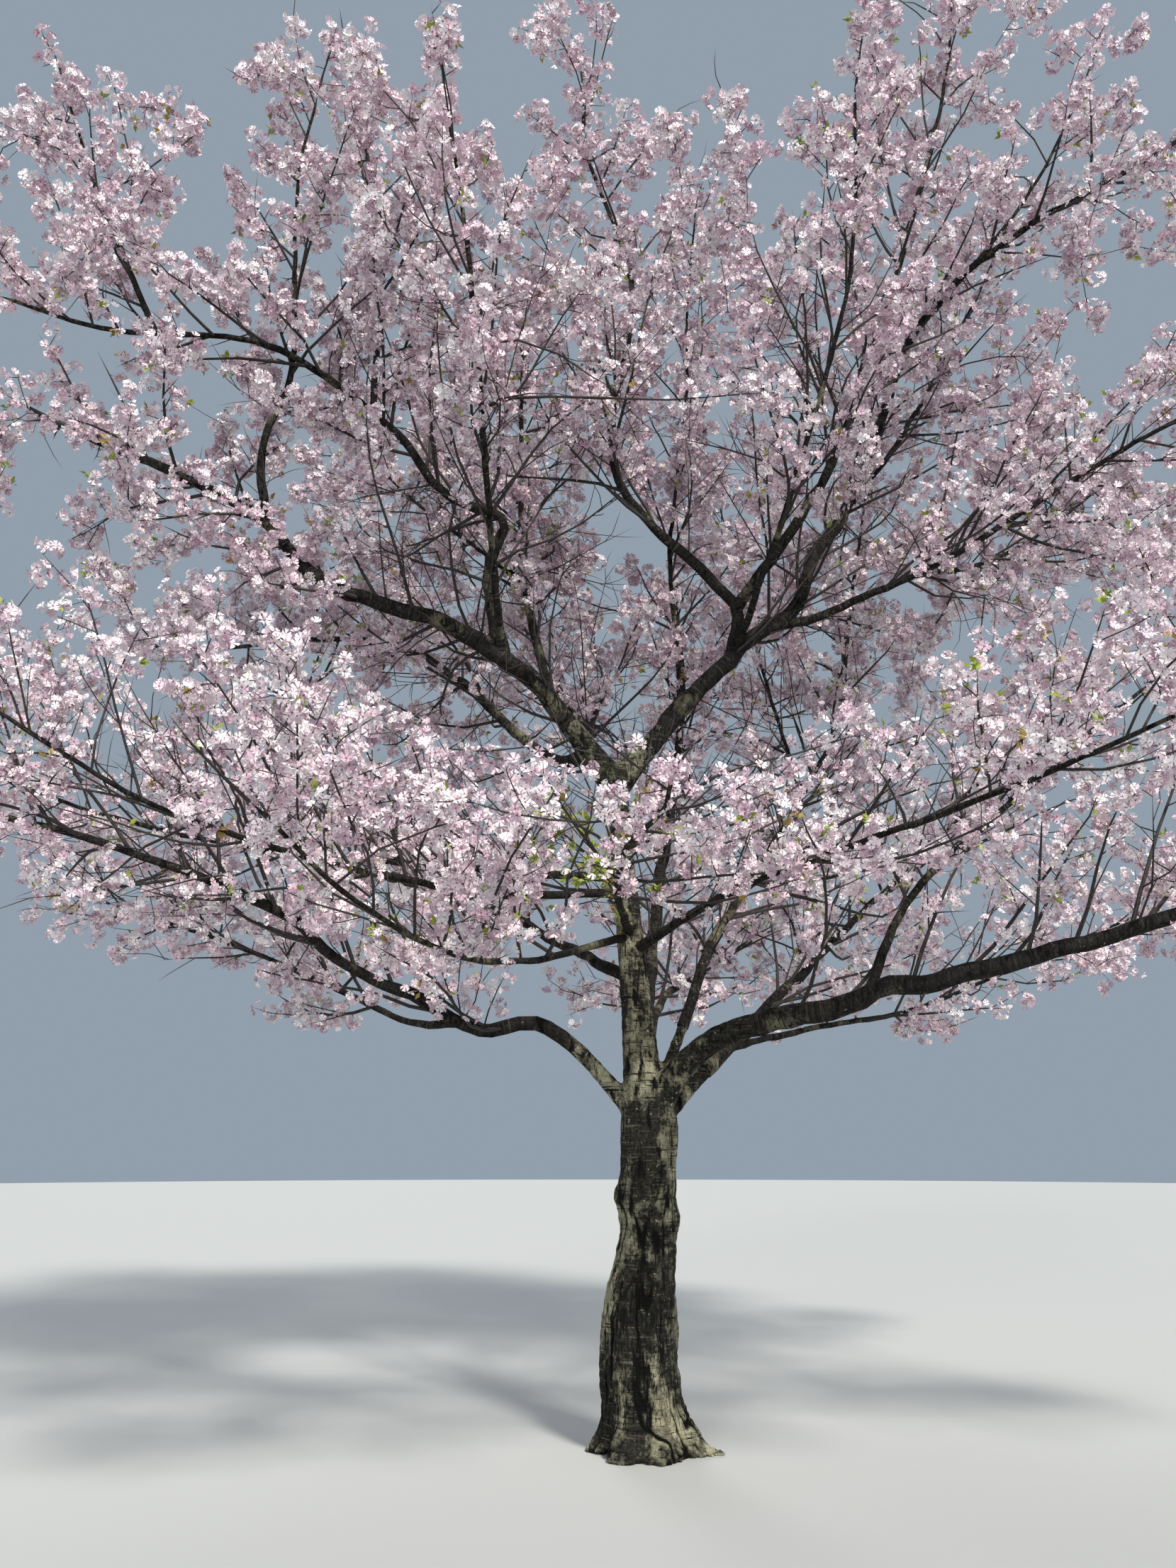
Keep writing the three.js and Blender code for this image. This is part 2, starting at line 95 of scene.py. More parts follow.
# Limbs: parent, share of its length, radius at each end, runs of bearing, climb, length.
LIMBS = {
    "leader": ("trunk", 0.93, (112, 68), [(153, 85, 2220)]),
    "low_right": ("trunk", 0.97, (82, 20), [(-21, 59, 270), (-33, 39, 360), (-32, 16, 380), (-25, 11, 1910), (-14, 18, 1400), (-5, 21, 1080)]),
    "low_left": ("trunk", 0.95, (54, 15), [(-168, 46, 690), (-167, 25, 250), (-170, -8, 300), (-160, 22, 460), (-156, 22, 410), (-139, 30, 530), (-172, 20, 1130), (-175, 12, 1230)]),
    "back_right": ("trunk", 0.94, (54, 17), [(42, 36, 840), (47, 32, 2000), (38, 35, 2190)]),
    "inner_right": ("trunk", 1.0, (42, 15), [(30, 64, 680), (54, 58, 470), (45, 48, 1800), (40, 56, 830), (63, 62, 1200)]),
    "back_stem": ("trunk", 0.98, (60, 18), [(87, 65, 830), (77, 55, 3510), (91, 69, 1080)]),
    "back_low": ("trunk", 0.96, (40, 12), [(82, 44, 1120), (71, 17, 1990), (75, 24, 1020)]),
    "low_left_fork": ("low_left", 0.28, (26, 11), [(137, 2, 370), (139, 19, 880), (154, 21, 1080), (160, 18, 1120)]),
    "right_riser": ("low_right", 0.3, (30, 12), [(20, 62, 560), (12, 40, 2440)]),
    "back_right_low": ("back_right", 0.18, (24, 10), [(41, 12, 710), (29, 11, 1170), (26, 20, 1190), (17, 21, 1110)]),
    "front_left_low": ("leader", 0.54, (26, 9), [(-122, -13, 1510), (-117, 5, 1020), (-124, 25, 790)]),
    "left_mid": ("leader", 0.67, (30, 10), [(-142, -7, 1160), (-146, 5, 1330), (-157, 17, 560), (-166, 29, 950)]),
    "left_mid_back": ("leader", 0.71, (28, 10), [(-176, 4, 2250), (-180, 12, 1080), (-180, 20, 1080)]),
    "front_centre": ("leader", 0.55, (28, 9), [(-97, 6, 780), (-88, 4, 900), (-78, 1, 650), (-88, 4, 480)]),
    "front_right": ("leader", 0.5, (32, 10), [(-49, 16, 890), (-51, 6, 1750), (-44, 12, 960)]),
    "back_left": ("leader", 0.42, (40, 14), [(126, 23, 1950), (133, 24, 2260)]),
    "v_left": ("leader", 1.0, (76, 26), [(-159, 45, 1130), (-166, 19, 1290), (-179, 48, 560), (-175, 25, 1380)]),
    "v_right": ("leader", 1.0, (72, 20), [(11, 50, 1330), (26, 41, 750), (35, 66, 440), (16, 57, 640), (8, 68, 980), (-14, 69, 560), (-33, 43, 750), (-39, 9, 1460)]),
    "left_back_arm": ("v_left", 0.06, (42, 13), [(140, 0, 280), (151, 39, 1830), (166, 5, 1900)]),
    "back_upright": ("v_left", 0.06, (40, 12), [(135, 44, 350), (128, 68, 1380), (99, 70, 1010), (95, 76, 2110)]),
    "left_arch": ("v_left", 0.26, (45, 11), [(-180, 81, 640), (0, 74, 350), (-168, 22, 400), (-168, 49, 600), (-165, 37, 430), (-164, 25, 620), (-163, -6, 1010), (-160, 7, 610)]),
    "right_arm": ("v_right", 0.23, (34, 11), [(-2, 19, 690), (-18, 19, 690), (-15, 28, 1730), (-15, 18, 840)]),
    "centre_upright": ("v_right", 0.19, (44, 9), [(-82, 81, 310), (-166, 48, 1250), (1, 86, 1650), (180, 75, 1290), (179, 87, 660)]),
    "right_upright": ("centre_upright", 0.06, (40, 9), [(-40, 42, 420), (-19, 56, 820), (-6, 72, 3320), (-17, 80, 860)]),
    "front_left_riser": ("v_left", 0.26, (28, 9), [(-94, 46, 1250), (-100, 66, 1200), (-150, 80, 1150)]),
    "front_right_riser": ("v_right", 0.19, (28, 9), [(-72, 38, 1150), (-64, 58, 1400), (-80, 76, 1150)]),
    "left_upright": ("v_left", 0.68, (30, 9), [(-179, 85, 570), (0, 75, 510), (-136, 88, 1730), (-20, 81, 650)]),
    "arch_upright": ("left_arch", 0.47, (24, 8), [(-172, 89, 1390), (-180, 79, 1750)]),
    "arch_outer": ("left_arch", 0.8, (22, 8), [(-172, 66, 1300), (-168, 70, 900)]),
    "right_back_upright": ("v_right", 0.46, (26, 9), [(22, 53, 890), (24, 60, 2450)]),
    "back_left_upright": ("back_upright", 0.36, (22, 8), [(131, 42, 2660), (141, 52, 1030)]),
    "back_right_upright": ("inner_right", 0.59, (20, 8), [(94, 53, 1830), (100, 63, 1350), (109, 72, 1050)]),
    "back_mid": ("leader", 0.96, (30, 9), [(102, 39, 880), (100, 34, 1160), (109, 38, 1210), (113, 57, 900), (104, 71, 640)]),
    "back_mid_upright": ("back_stem", 0.62, (26, 8), [(-69, 84, 740), (-118, 83, 1100), (-52, 79, 1230), (-68, 84, 1100), (-55, 81, 810)]),
    "right_back_arm": ("right_arm", 0.3, (24, 9), [(50, 24, 560), (36, 25, 750), (27, 34, 800), (22, 40, 860)]),
    "far_right_upright": ("v_right", 0.72, (22, 8), [(-24, 42, 640), (-20, 52, 860), (-12, 64, 950)]),
    "back_right_riser": ("inner_right", 0.86, (20, 8), [(37, 77, 850), (9, 79, 920), (-44, 81, 910)]),
}

# Masses of blossom: limb, share of it where the mass starts and ends, half width, half
# depth, lift, and the joined piece of blossom that stands for the mass.
MASSES = {
    "skirt_left": ("low_left", 0.56, 1.1, 980, 540, 60, "low_left"),
    "skirt_left_back": ("low_left_fork", 0.36, 1.16, 930, 520, 80, "low_left"),
    "skirt_front_left": ("front_left_low", 0.36, 1.2, 800, 390, 110, "low_front"),
    "mid_left_front": ("left_mid", 0.34, 1.16, 880, 600, 170, "low_left"),
    "mid_left": ("left_mid_back", 0.32, 1.18, 950, 800, 320, "low_left"),
    "skirt_front": ("front_centre", 0.26, 1.16, 860, 370, 60, "low_front"),
    "skirt_front_right": ("front_right", 0.32, 1.16, 900, 460, 80, "low_front"),
    "skirt_right": ("low_right", 0.58, 1.1, 1000, 580, 120, "low_right"),
    "mid_right": ("right_riser", 0.36, 1.32, 950, 900, 200, "low_right"),
    "skirt_right_back": ("back_right_low", 0.36, 1.14, 950, 540, 60, "low_right"),
    "mid_right_back": ("back_right", 0.5, 1.16, 1050, 1000, 300, "back"),
    "skirt_back": ("back_low", 0.38, 1.16, 1060, 620, 160, "back"),
    "mid_back_left": ("back_left", 0.4, 1.2, 1080, 950, 260, "back"),
    "left_outer": ("v_left", 0.56, 1.22, 950, 860, -40, "upper_left"),
    "left_back": ("left_back_arm", 0.36, 1.18, 1050, 930, 60, "upper_left"),
    "back_centre": ("back_stem", 0.5, 1.18, 1200, 1120, 0, "back"),
    "inner_right_mass": ("inner_right", 0.52, 1.32, 1000, 900, 0, "upper_right"),
    "right_outer": ("right_arm", 0.4, 1.18, 1050, 960, -20, "upper_right"),
    "front_left_upper": ("front_left_riser", 0.32, 1.12, 860, 760, 0, "upper_left"),
    "front_right_upper": ("front_right_riser", 0.32, 1.12, 860, 760, 0, "upper_right"),
    "top_left": ("left_upright", 0.22, 1.1, 1000, 900, 0, "top_left"),
    "arch_end": ("left_arch", 0.56, 1.14, 960, 760, 60, "upper_left"),
    "top_far_left": ("arch_outer", 0.2, 1.1, 800, 820, 0, "top_left"),
    "top_back": ("back_upright", 0.42, 1.1, 1080, 1000, 0, "top_back"),
    "top_back_left": ("back_left_upright", 0.28, 1.16, 1100, 980, 0, "top_back"),
    "top_centre": ("centre_upright", 0.4, 1.06, 920, 940, 0, "top_middle"),
    "top_right": ("right_upright", 0.38, 1.06, 1060, 960, 0, "top_middle"),
    "top_far_right": ("v_right", 0.58, 1.12, 1120, 1050, 420, "top_right"),
    "top_right_back": ("right_back_upright", 0.2, 1.14, 1060, 1000, 0, "top_right"),
    "top_back_right": ("back_right_upright", 0.26, 1.14, 1100, 1050, 0, "top_back"),
    "back_mid": ("back_mid", 0.5, 1.12, 1050, 850, 0, "back"),
    "top_mid_back": ("back_mid_upright", 0.42, 1.06, 960, 920, 0, "top_middle"),
    "right_back": ("right_back_arm", 0.2, 1.12, 980, 960, -80, "upper_right"),
}
LUMP = 0.12

# ---- the view: eye height 1.6 m, 7.3 m from the trunk, tilted up 17 degrees ----
EYE = (-0.33, -7.3, 1.6)
TILT = 17.2
cam = bpy.data.cameras.new("view")
cam.sensor_width = 36.0
cam.lens = 27.04
cam_ob = bpy.data.objects.new("view", cam)
cam_ob.location = EYE
cam_ob.rotation_euler = (math.radians(90 + TILT), 0, 0)
bpy.context.scene.collection.objects.link(cam_ob)
bpy.context.scene.camera = cam_ob


# ---- lines ---------------------------------------------------------------------------
def smooth_line(points, step=0.03):
    """A centripetal Catmull-Rom line through the points, in even steps."""
    p = [np.array(q, float) for q in points]
    out = []
    for i in range(len(p) - 1):
        p1, p2 = p[i], p[i + 1]
        p0 = p[i - 1] if i > 0 else 2 * p1 - p2
        p3 = p[i + 2] if i < len(p) - 2 else 2 * p2 - p1
        d0, d1, d2 = (
            max(np.linalg.norm(b - a) ** 0.5, 1e-4)
            for a, b in ((p0, p1), (p1, p2), (p2, p3))
        )
        t1 = ((p1 - p0) / d0 - (p2 - p0) / (d0 + d1) + (p2 - p1) / d1) * d1
        t2 = ((p2 - p1) / d1 - (p3 - p1) / (d1 + d2) + (p3 - p2) / d2) * d1
        n = max(4, int(np.linalg.norm(p2 - p1) / step))
        t = (np.arange(n) / n)[:, None]
        out.append(
            (2 * t**3 - 3 * t**2 + 1) * p1
            + (t**3 - 2 * t**2 + t) * t1
            + (-2 * t**3 + 3 * t**2) * p2
            + (t**3 - t**2) * t2
        )
    out.append(p[-1][None])
    line = np.vstack(out)
    s = lengths(line)
    return resample(line, s, max(2, int(round(s[-1] / step)) + 1))


def lengths(line):
    return np.r_[0, np.cumsum(np.linalg.norm(np.diff(line, axis=0), axis=1))]


def resample(line, s, n):
    at = np.linspace(0, s[-1], n)
    return np.stack([np.interp(at, s, line[:, k]) for k in range(3)], 1)


def point_at(line, share):
    s = lengths(line)
    return np.array([np.interp(share * s[-1], s, line[:, k]) for k in range(3)])


def tangents(line):
    t = np.gradient(line, axis=0)
    return t / np.maximum(np.linalg.norm(t, axis=1, keepdims=True), 1e-9)


def runs_to_points(start, runs):
    points = [np.array(start, float)]
    for bearing, climb, length in runs:
        b, c, d = math.radians(bearing), math.radians(climb), length / 1000
        points.append(
            points[-1]
            + d
            * np.array([math.cos(c) * math.cos(b), math.cos(c) * math.sin(b), math.sin(c)])
        )
    return points


LINES = {"trunk": smooth_line(runs_to_points((0, 0, 0), TRUNK_AXIS))}
RADII = {}
for name, (parent, share, (r0, r1), runs) in LIMBS.items():
    line = smooth_line(runs_to_points(point_at(LINES[parent], share), runs))
    LINES[name] = line
    t = np.linspace(0, 1, len(line))
    RADII[name] = (r0 + (r1 - r0) * t**0.8) / 1000


# ---- the masses as a guide for growth ------------------------------------------------
def mass_frames():
    rows = []
    for seed, (name, (on, a, b, wide, deep, lift, piece)) in enumerate(MASSES.items(), 1):
        line = LINES[on]
        start, end = point_at(line, a), point_at(line, min(b, 1))
        if b > 1:
            end = end + tangents(line)[-1] * (b - 1) * lengths(line)[-1]
        along = end - start
        half = np.linalg.norm(along) / 2
        along /= 2 * half
        side = np.cross([0, 0, 1], along)
        if np.linalg.norm(side) < 0.2:
            side = np.array([1.0, 0, 0]) - along * along[0]
        side /= np.linalg.norm(side)
        up = np.cross(along, side)
        middle = (start + end) / 2 + np.array([0, 0, lift / 1000])
        rows.append((middle, np.stack([along / half, side / (wide / 1000), up / (deep / 1000)]), seed))
    return rows


FRAMES = mass_frames()
MASS_NAMES = list(MASSES)
MIDDLES = np.array([f[0] for f in FRAMES])
MATRICES = np.array([f[1] for f in FRAMES])
SEEDS = np.array([f[2] for f in FRAMES], float)


def depth_in_masses(points):
    """For each point, how far out it lies in the nearest mass (1 is its surface), and
    which mass that is."""
    q = np.einsum("mij,nmj->nmi", MATRICES, points[:, None] - MIDDLES[None])
    r = np.linalg.norm(q, axis=2)
    d = q / np.maximum(r, 1e-6)[..., None]
    uneven = (
        1
        + LUMP * np.sin(3.1 * d[..., 0] + 1.9 * d[..., 1] + SEEDS * 1.7)
        + LUMP * 0.7 * np.sin(4.3 * d[..., 1] - 2.2 * d[..., 2] + SEEDS * 2.9)
        + LUMP * 0.6 * np.sin(5.4 * d[..., 2] + 3.3 * d[..., 0] + SEEDS * 4.1)
    )
    r = r / uneven
    return r.min(1), r.argmin(1)


# ---- growth --------------------------------------------------------------------------
CELL = 0.30
crowding = {}


def cells_of(points):
    return [tuple(c) for c in np.floor(points / CELL).astype(int)]


def crowd(points):
    return max((crowding.get(c, 0) for c in cells_of(points)), default=0)


def settle(points, weight=1.0):
    for c in set(cells_of(points)):
        crowding[c] = crowding.get(c, 0) + weight


def unit(v):
    return v / max(np.linalg.norm(v), 1e-9)


def across(t):
    """Two directions square to t."""
    a = np.cross(t, [0, 0, 1.0])
    if np.linalg.norm(a) < 0.15:
        a = np.cross(t, [1.0, 0, 0])
    a = unit(a)
    return a, np.cross(t, a)


def shoot(start, direction, length, rise, wander, step):
    """A line that sets off in a direction, turns up a little, wanders and kinks at its nodes."""
    n = max(3, int(length / step))
    d = unit(direction)
    p = np.array(start, float)
    out = [p.copy()]
    drift = rng.normal(0, 1, 3)
    for _ in range(n):
        drift = 0.75 * drift + 0.25 * rng.normal(0, 1, 3)
        d = unit(d + np.array([0, 0, rise * length / n]) + wander * drift / n**0.5 + 0.07 * rng.normal(0, 1, 3))
        p = p + d * length / n
        out.append(p.copy())
    return np.array(out)


def side_shoots(line, first, last, spacing, length_at, angle, rise, wander, radius_at, limit, weight, reach, tries):
    """Shoots up all sides of a line, each tried a few ways and set where there is most
    room inside the masses."""
    s = lengths(line)
    total = s[-1]
    tan = tangents(line)
    at = first * total + rng.uniform(0, spacing)
    turn = rng.uniform(0, 2 * math.pi)
    made = []
    while at < last * total:
        share = at / total
        p = np.array([np.interp(at, s, line[:, k]) for k in range(3)])
        t = tan[min(int(share * (len(line) - 1)), len(line) - 1)]
        a, b = across(t)
        best, best_score = None, -1e9
        for _ in range(tries):
            turn += 2.4 + rng.normal(0, 0.5)
            tilt = math.radians(rng.normal(angle, 8))
            length = length_at(share) * rng.uniform(0.65, 1.2)
            d = t * math.cos(tilt) + (a * math.cos(turn) + b * math.sin(turn)) * math.sin(tilt)
            if d[2] < -0.4:
                continue
            c = shoot(p, d, length, rise, wander, 0.08)
            out = depth_in_masses(c[[len(c) // 2, -1]])[0]
            if out[1] > reach or out[0] > reach + 0.25:
                continue
            full = crowd(c[len(c) // 2 :])
            if full >= limit:
                continue
            score = -full - 0.6 * max(0, out[1] - 0.85) + 0.2 * d[2] + rng.normal(0, 0.25)
            if score > best_score:
                best, best_score = c, score
        if best is not None:
            made.append((best, radius_at(share)))
            settle(best[len(best) // 4 :], weight)
        at += spacing * rng.uniform(0.75, 1.3)
    return made


# How the limbs branch: where the side branches start, how far apart they are, how long
# the longest is, their angle and how much they turn up.
UPRIGHT = dict(first=0.2, spacing=0.16, long=1.45, angle=40, rise=0.25)
SPREADING = dict(first=0.22, spacing=0.15, long=1.5, angle=52, rise=0.3)
SPARSE = dict(first=0.18, spacing=0.18, long=1.35, angle=42, rise=0.25)
OPEN = ("arch_outer", "left_upright", "arch_upright", "far_right_upright")
UPRIGHTS = ("back_stem", "v_right", "arch_outer", "inner_right", "back_mid")
HABIT = {
    name: SPARSE
    if name in OPEN
    else UPRIGHT
    if name.endswith(("upright", "riser")) or name in UPRIGHTS
    else SPREADING
    for name in LIMBS
}

flowering = []  # (line, radii at its ends, from share, to share)
second = []  # side branches of the limbs, as (line, radius at the foot, radius at the tip)
for name in LIMBS:
    if name == "leader":
        continue
    line, radii, habit = LINES[name], RADII[name], HABIT[name]
    # the limb runs on past its last named run as a thinning whip
    tip = shoot(line[-1], tangents(line)[-1], 0.5, 0.15, 0.15, 0.08)
    second.append((tip, radii[-1], 0.0035))
    settle(tip)
    settle(line[len(line) // 2 :], 0.5)
    flowering.append((tip, radii[-1], 0.0035, 0.0, 0.8))
    flowering.append((line, radii[0], radii[-1], 0.55, 1.0))
order = [n for n in LIMBS if n != "leader"]
for sweep in range(2):
    for name in order:
        line, radii, habit = LINES[name], RADII[name], HABIT[name]
        first = habit["first"]
        kids = side_shoots(
            line,
            first,
            0.98,
            habit["spacing"] * 2,
            lambda t, h=habit, f=first: h["long"] * (0.5 + 0.5 * (1 - (t - f) / (1 - f)) ** 0.8),
            habit["angle"],
            habit["rise"],
            0.31,
            lambda t, r=radii: min(0.013, 0.6 * r[min(int(t * len(r)), len(r) - 1)]),
            1.45,
            1.0,
            1.12,
            8,
        )
        for c, r in kids:
            second.append((c, r, 0.0035))
            flowering.append((c, r, 0.0035, 0.2, 0.95))


def nearest_stem(points, stems):
    """For each point, its distance to the stems and the index of the nearest stem point."""
    d2 = np.empty(len(points))
    near = np.empty(len(points), int)
    for i in range(0, len(points), 400):
        q = ((points[i : i + 400, None] - stems[None]) ** 2).sum(2)
        near[i : i + 400] = q.argmin(1)
        d2[i : i + 400] = q.min(1)
    return np.sqrt(d2), near


# branches that reach into what room is left inside the masses
box_low, box_high = MIDDLES.min(0) - 1.2, MIDDLES.max(0) + 1.2
grid = np.stack(np.meshgrid(*[np.arange(a, b, 0.27) for a, b in zip(box_low, box_high)], indexing="ij"), -1).reshape(-1, 3)
grid = grid + rng.uniform(-0.08, 0.08, grid.shape)
grid = grid[depth_in_masses(grid)[0] < 0.93]
for sweep in range(2):
    rows = [(LINES[n][len(LINES[n]) // 6 :: 3], RADII[n][len(LINES[n]) // 6 :: 3]) for n in order]
    rows += [(c[1:], np.linspace(r0, r1, len(c))[1:]) for c, r0, r1 in second]
    stems = np.vstack([c for c, r in rows])
    stem_radius = np.concatenate([r for c, r in rows])
    stem_way = np.vstack([tangents(c) for c, r in rows])
    gap, near = nearest_stem(grid, stems)
    taken = []
    for i in np.argsort(-gap):
        if gap[i] < 0.46:
            break
        if gap[i] > 1.3 or any(np.linalg.norm(grid[i] - c) < 0.8 for c in taken):
            continue
        taken.append(grid[i])
        # sets off a little lower down the stem, along it, and bends out to the gap
        k = near[i]
        foot, way = stems[k], stem_way[k]
        t = np.linspace(0, 1, 7)[:, None]
        end = grid[i] + 0.18 * unit(grid[i] - foot) + np.array([0, 0, 0.10])
        bend = foot + 0.45 * gap[i] * unit(way + np.array([0, 0, 0.25]))
        c = (1 - t) ** 2 * foot + 2 * t * (1 - t) * bend + t**2 * end
        c[1:-1] += 0.02 * rng.normal(0, 1, (5, 3))
        second.append((c, min(0.010, 0.7 * stem_radius[k]), 0.0035))
        flowering.append((c, second[-1][1], 0.0035, 0.25, 1.0))
        settle(c, 1.0)
    print("fill", sweep, len(taken), "of", len(grid))

shoots = []
for line, r0, r1 in list(second):
    total = lengths(line)[-1]
    # high in the head the blossom sits in close sleeves round long stems; lower down it
    # spreads on longer side shoots
    sleeve = min(1.0, max(0.0, (line[len(line) // 2][2] - 4.4) / 1.4))
    longest = (1 - sleeve) * min(0.62, 0.16 + 0.4 * total) + sleeve * min(0.29, 0.12 + 0.17 * total)
    kids = side_shoots(
        line,
        0.12,
        0.95,
        0.15 - 0.065 * sleeve,
        lambda t, L=longest: L * (1 - 0.5 * t),
        48 + 8 * sleeve,
        0.35,
        0.36,
        lambda t, a=r0, b=r1: max(0.0036, 0.55 * (a + (b - a) * t)),
        1.75 + 2.2 * sleeve,
        0.6,
        1.16,
        6,
    )
    for c, r in kids:
        shoots.append((c, r, 0.0024))
        flowering.append((c, r, 0.0024, 0.12, 0.97))

# short side shoots close along the outer part of each limb
for name in order:
    kids = side_shoots(LINES[name], 0.42, 1.0, 0.09, lambda t: 0.19, 68, 0.3, 0.3, lambda t: 0.0034, 4.8, 0.25, 1.25, 4)
    for c, r in kids:
        shoots.append((c, r, 0.0024))
        flowering.append((c, r, 0.0024, 0.1, 0.97))


def in_core(p):
    """Whether a point lies in the open middle of the head, round the upper fork."""
    return p[0] ** 2 + p[1] ** 2 < 1.9**2 and 3.2 < p[2] < 7.4


def bare(line, share, length, tilt_low, tilt_high, rise=0.3):
    p = point_at(line, share)
    t = tangents(line)[min(int(share * len(line)), len(line) - 1)]
    a, b = across(t)
    turn, tilt = rng.uniform(0, 2 * math.pi), math.radians(rng.uniform(tilt_low, tilt_high))
    d = t * math.cos(tilt) + (a * math.cos(turn) + b * math.sin(turn)) * math.sin(tilt)
    return shoot(p, d, length, rise, 0.55, 0.12)


# fine bare twigs: a net of them inside the head, and long ones standing out of its top
twigs, twig_on = [], {}
for line, r0, r1 in second + shoots:
    total = lengths(line)[-1]
    for _ in range(rng.poisson((1.0 if line[-1][2] < 6.4 else 0.12) * total)):
        c = bare(line, rng.uniform(0.1, 1.0), rng.uniform(0.15, 0.42), 30, 65)
        if depth_in_masses(c[-1:])[0][0] < (0.92 if c[-1][2] < 7.6 else 1.1):
            twigs.append((c, 0.0030, 0.0016))
            twig_on[id(c)] = id(line)
inner = []
for name in order:
    line = LINES[name]
    total = lengths(line)[-1]
    for _ in range(rng.poisson((3.4 if line[len(line) // 3][2] < 6.0 else 1.0) * total)):
        c = bare(line, rng.uniform(0.12, 0.7), rng.uniform(0.5, 1.25), 35, 75)
        if c[:, 2].min() < 2.5 or not in_core(c[-1]) and depth_in_masses(c[-1:])[0][0] > (0.95 if c[-1][2] < 3.8 else 1.25 if c[-1][2] < 6 else 0.85):
            continue
        inner.append((c, rng.choice([0.0062, 0.0080, 0.0105], p=[0.6, 0.25, 0.15]), 0.0028))
        for _ in range(rng.integers(2, 7)):
            twigs.append((bare(c, rng.uniform(0.2, 0.95), rng.uniform(0.2, 0.5), 30, 70), 0.0034, 0.0018))
for line, r0, r1 in second:
    if line[-1][2] > 7.6 and rng.uniform() < 0.14:
        if depth_in_masses(line[-1:])[0][0] > 0.8:
            inner.append((shoot(line[-1], tangents(line)[-1], rng.uniform(0.2, 0.5), 0.3, 0.4, 0.10), 0.0040, 0.0018))


def tuck(line):
    """Draws the highest tips down a little, so that they keep to the height of the head."""
    top = CAD_BOX[1][2]
    high = np.maximum(0, line[:, 2] - (top - 0.3))
    line[:, 2] -= high - 0.5 * np.tanh(high / 0.5)
    return line


for rows in (second, shoots, inner, twigs):
    for row in rows:
        tuck(row[0])
# young leafy shoots in front of the leader, where the limbs of the front skirt set off
leafy = []
LEAFY = [
    # limb, share of its length, direction, length
    ("leader", 0.52, (-0.30, -0.52, 0.85), 0.8),
    ("leader", 0.62, (-0.5, -0.6, 0.5), 0.5),
    ("front_centre", 0.26, (-0.55, -0.2, 0.80), 0.50),
    ("front_centre", 0.33, (-0.70, -0.3, 0.62), 0.46),
    ("front_centre", 0.39, (-0.45, -0.3, 0.90), 0.55),
    ("front_centre", 0.45, (-0.90, -0.2, 0.15), 0.42),
    ("front_centre", 0.41, (-0.70, -0.1, -0.35), 0.34),
    ("front_centre", 0.50, (0.30, -0.5, 0.80), 0.36),
]
for on, share, d, length in LEAFY:
    c = shoot(point_at(LINES[on], share), d, length, 0.1, 0.3, 0.08)
    leafy.append(c)
    inner.append((c, 0.0050, 0.0020))
for _ in range(80):
    # longer limbs of the third order that cross the open middle
    name = order[rng.integers(len(order))]
    c = bare(LINES[name], rng.uniform(0.05, 0.45), rng.uniform(1.1, 2.0), 30, 60, 0.4)
    if c[:, 2].min() > 2.9 and (in_core(c[-1]) or depth_in_masses(c[[len(c) // 2, -1]])[0].max() < (1.0 if c[-1][2] < 3.8 else 1.2)):
        inner.append((tuck(c), 0.0125, 0.0030))
        flowering.append((c, 0.0125, 0.0030, 0.6, 1.0))
        for _ in range(rng.integers(4, 9)):
            twigs.append((bare(c, rng.uniform(0.2, 0.95), rng.uniform(0.25, 0.6), 30, 70), 0.0038, 0.0018))
print("second order", len(second), "shoots", len(shoots), "inner", len(inner), "twigs", len(twigs))


# ---- where the clusters of blossom sit -----------------------------------------------
SPACING = 0.088
THICK = 9.0  # the most clusters in a cell of half a metre before they thin out, low down
THICK_HIGH = 13.5  # the same in the upper head
FULLER = {  # masses that are closer set than the rest, or more open
    "arch_end": 1.4,
    "left_outer": 1.3,
    "top_left": 1.5,
    "top_far_left": 1.4,
    "left_back": 1.2,
    "mid_left": 1.1,
    "top_right": 0.78,
    "top_far_right": 0.76,
    "top_right_back": 0.78,
    "right_outer": 0.88,
    "top_back_right": 0.85,
}

centres, outward, feet, shade_of, line_of = [], [], [], [], []
for number, (line, r0, r1, first, last) in enumerate(flowering):
    s = lengths(line)
    total = s[-1]
    tan = tangents(line)
    tone = rng.choice(4, p=[0.32, 0.30, 0.19, 0.19])
    at = first * total + rng.uniform(0, SPACING)
    turn = rng.uniform(0, 2 * math.pi)
    close = 1 - 0.2 * min(1.0, max(0.0, (line[len(line) // 2][2] - 4.4) / 1.4))
    while at < last * total:
        share = at / total
        p = np.array([np.interp(at, s, line[:, k]) for k in range(3)])
        a, b = across(tan[min(int(share * (len(line) - 1)), len(line) - 1)])
        turn += 2.4 + rng.normal(0, 0.4)
        out = a * math.cos(turn) + b * math.sin(turn)
        out = unit(out + np.array([0, 0, 0.15]))
        r = r0 + (r1 - r0) * share
        centres.append(p + out * (r + rng.uniform(0.030, 0.062)))
        outward.append(out)
        feet.append(p)
        shade_of.append(tone if rng.uniform() < 0.8 else rng.integers(4))
        line_of.append(number)
        at += close * SPACING * rng.uniform(0.75, 1.3)
centres, outward, feet, shade_of, line_of = (np.array(q) for q in (centres, outward, feet, shade_of, line_of))
depth, nearest = depth_in_masses(centres)
cell = np.floor(centres / 0.5).astype(int)
_, inverse, count = np.unique(cell, axis=0, return_inverse=True, return_counts=True)
inverse = inverse.ravel()
most = THICK + (THICK_HIGH - THICK) * np.clip((centres[:, 2] - 4.4) / 1.4, 0, 1)
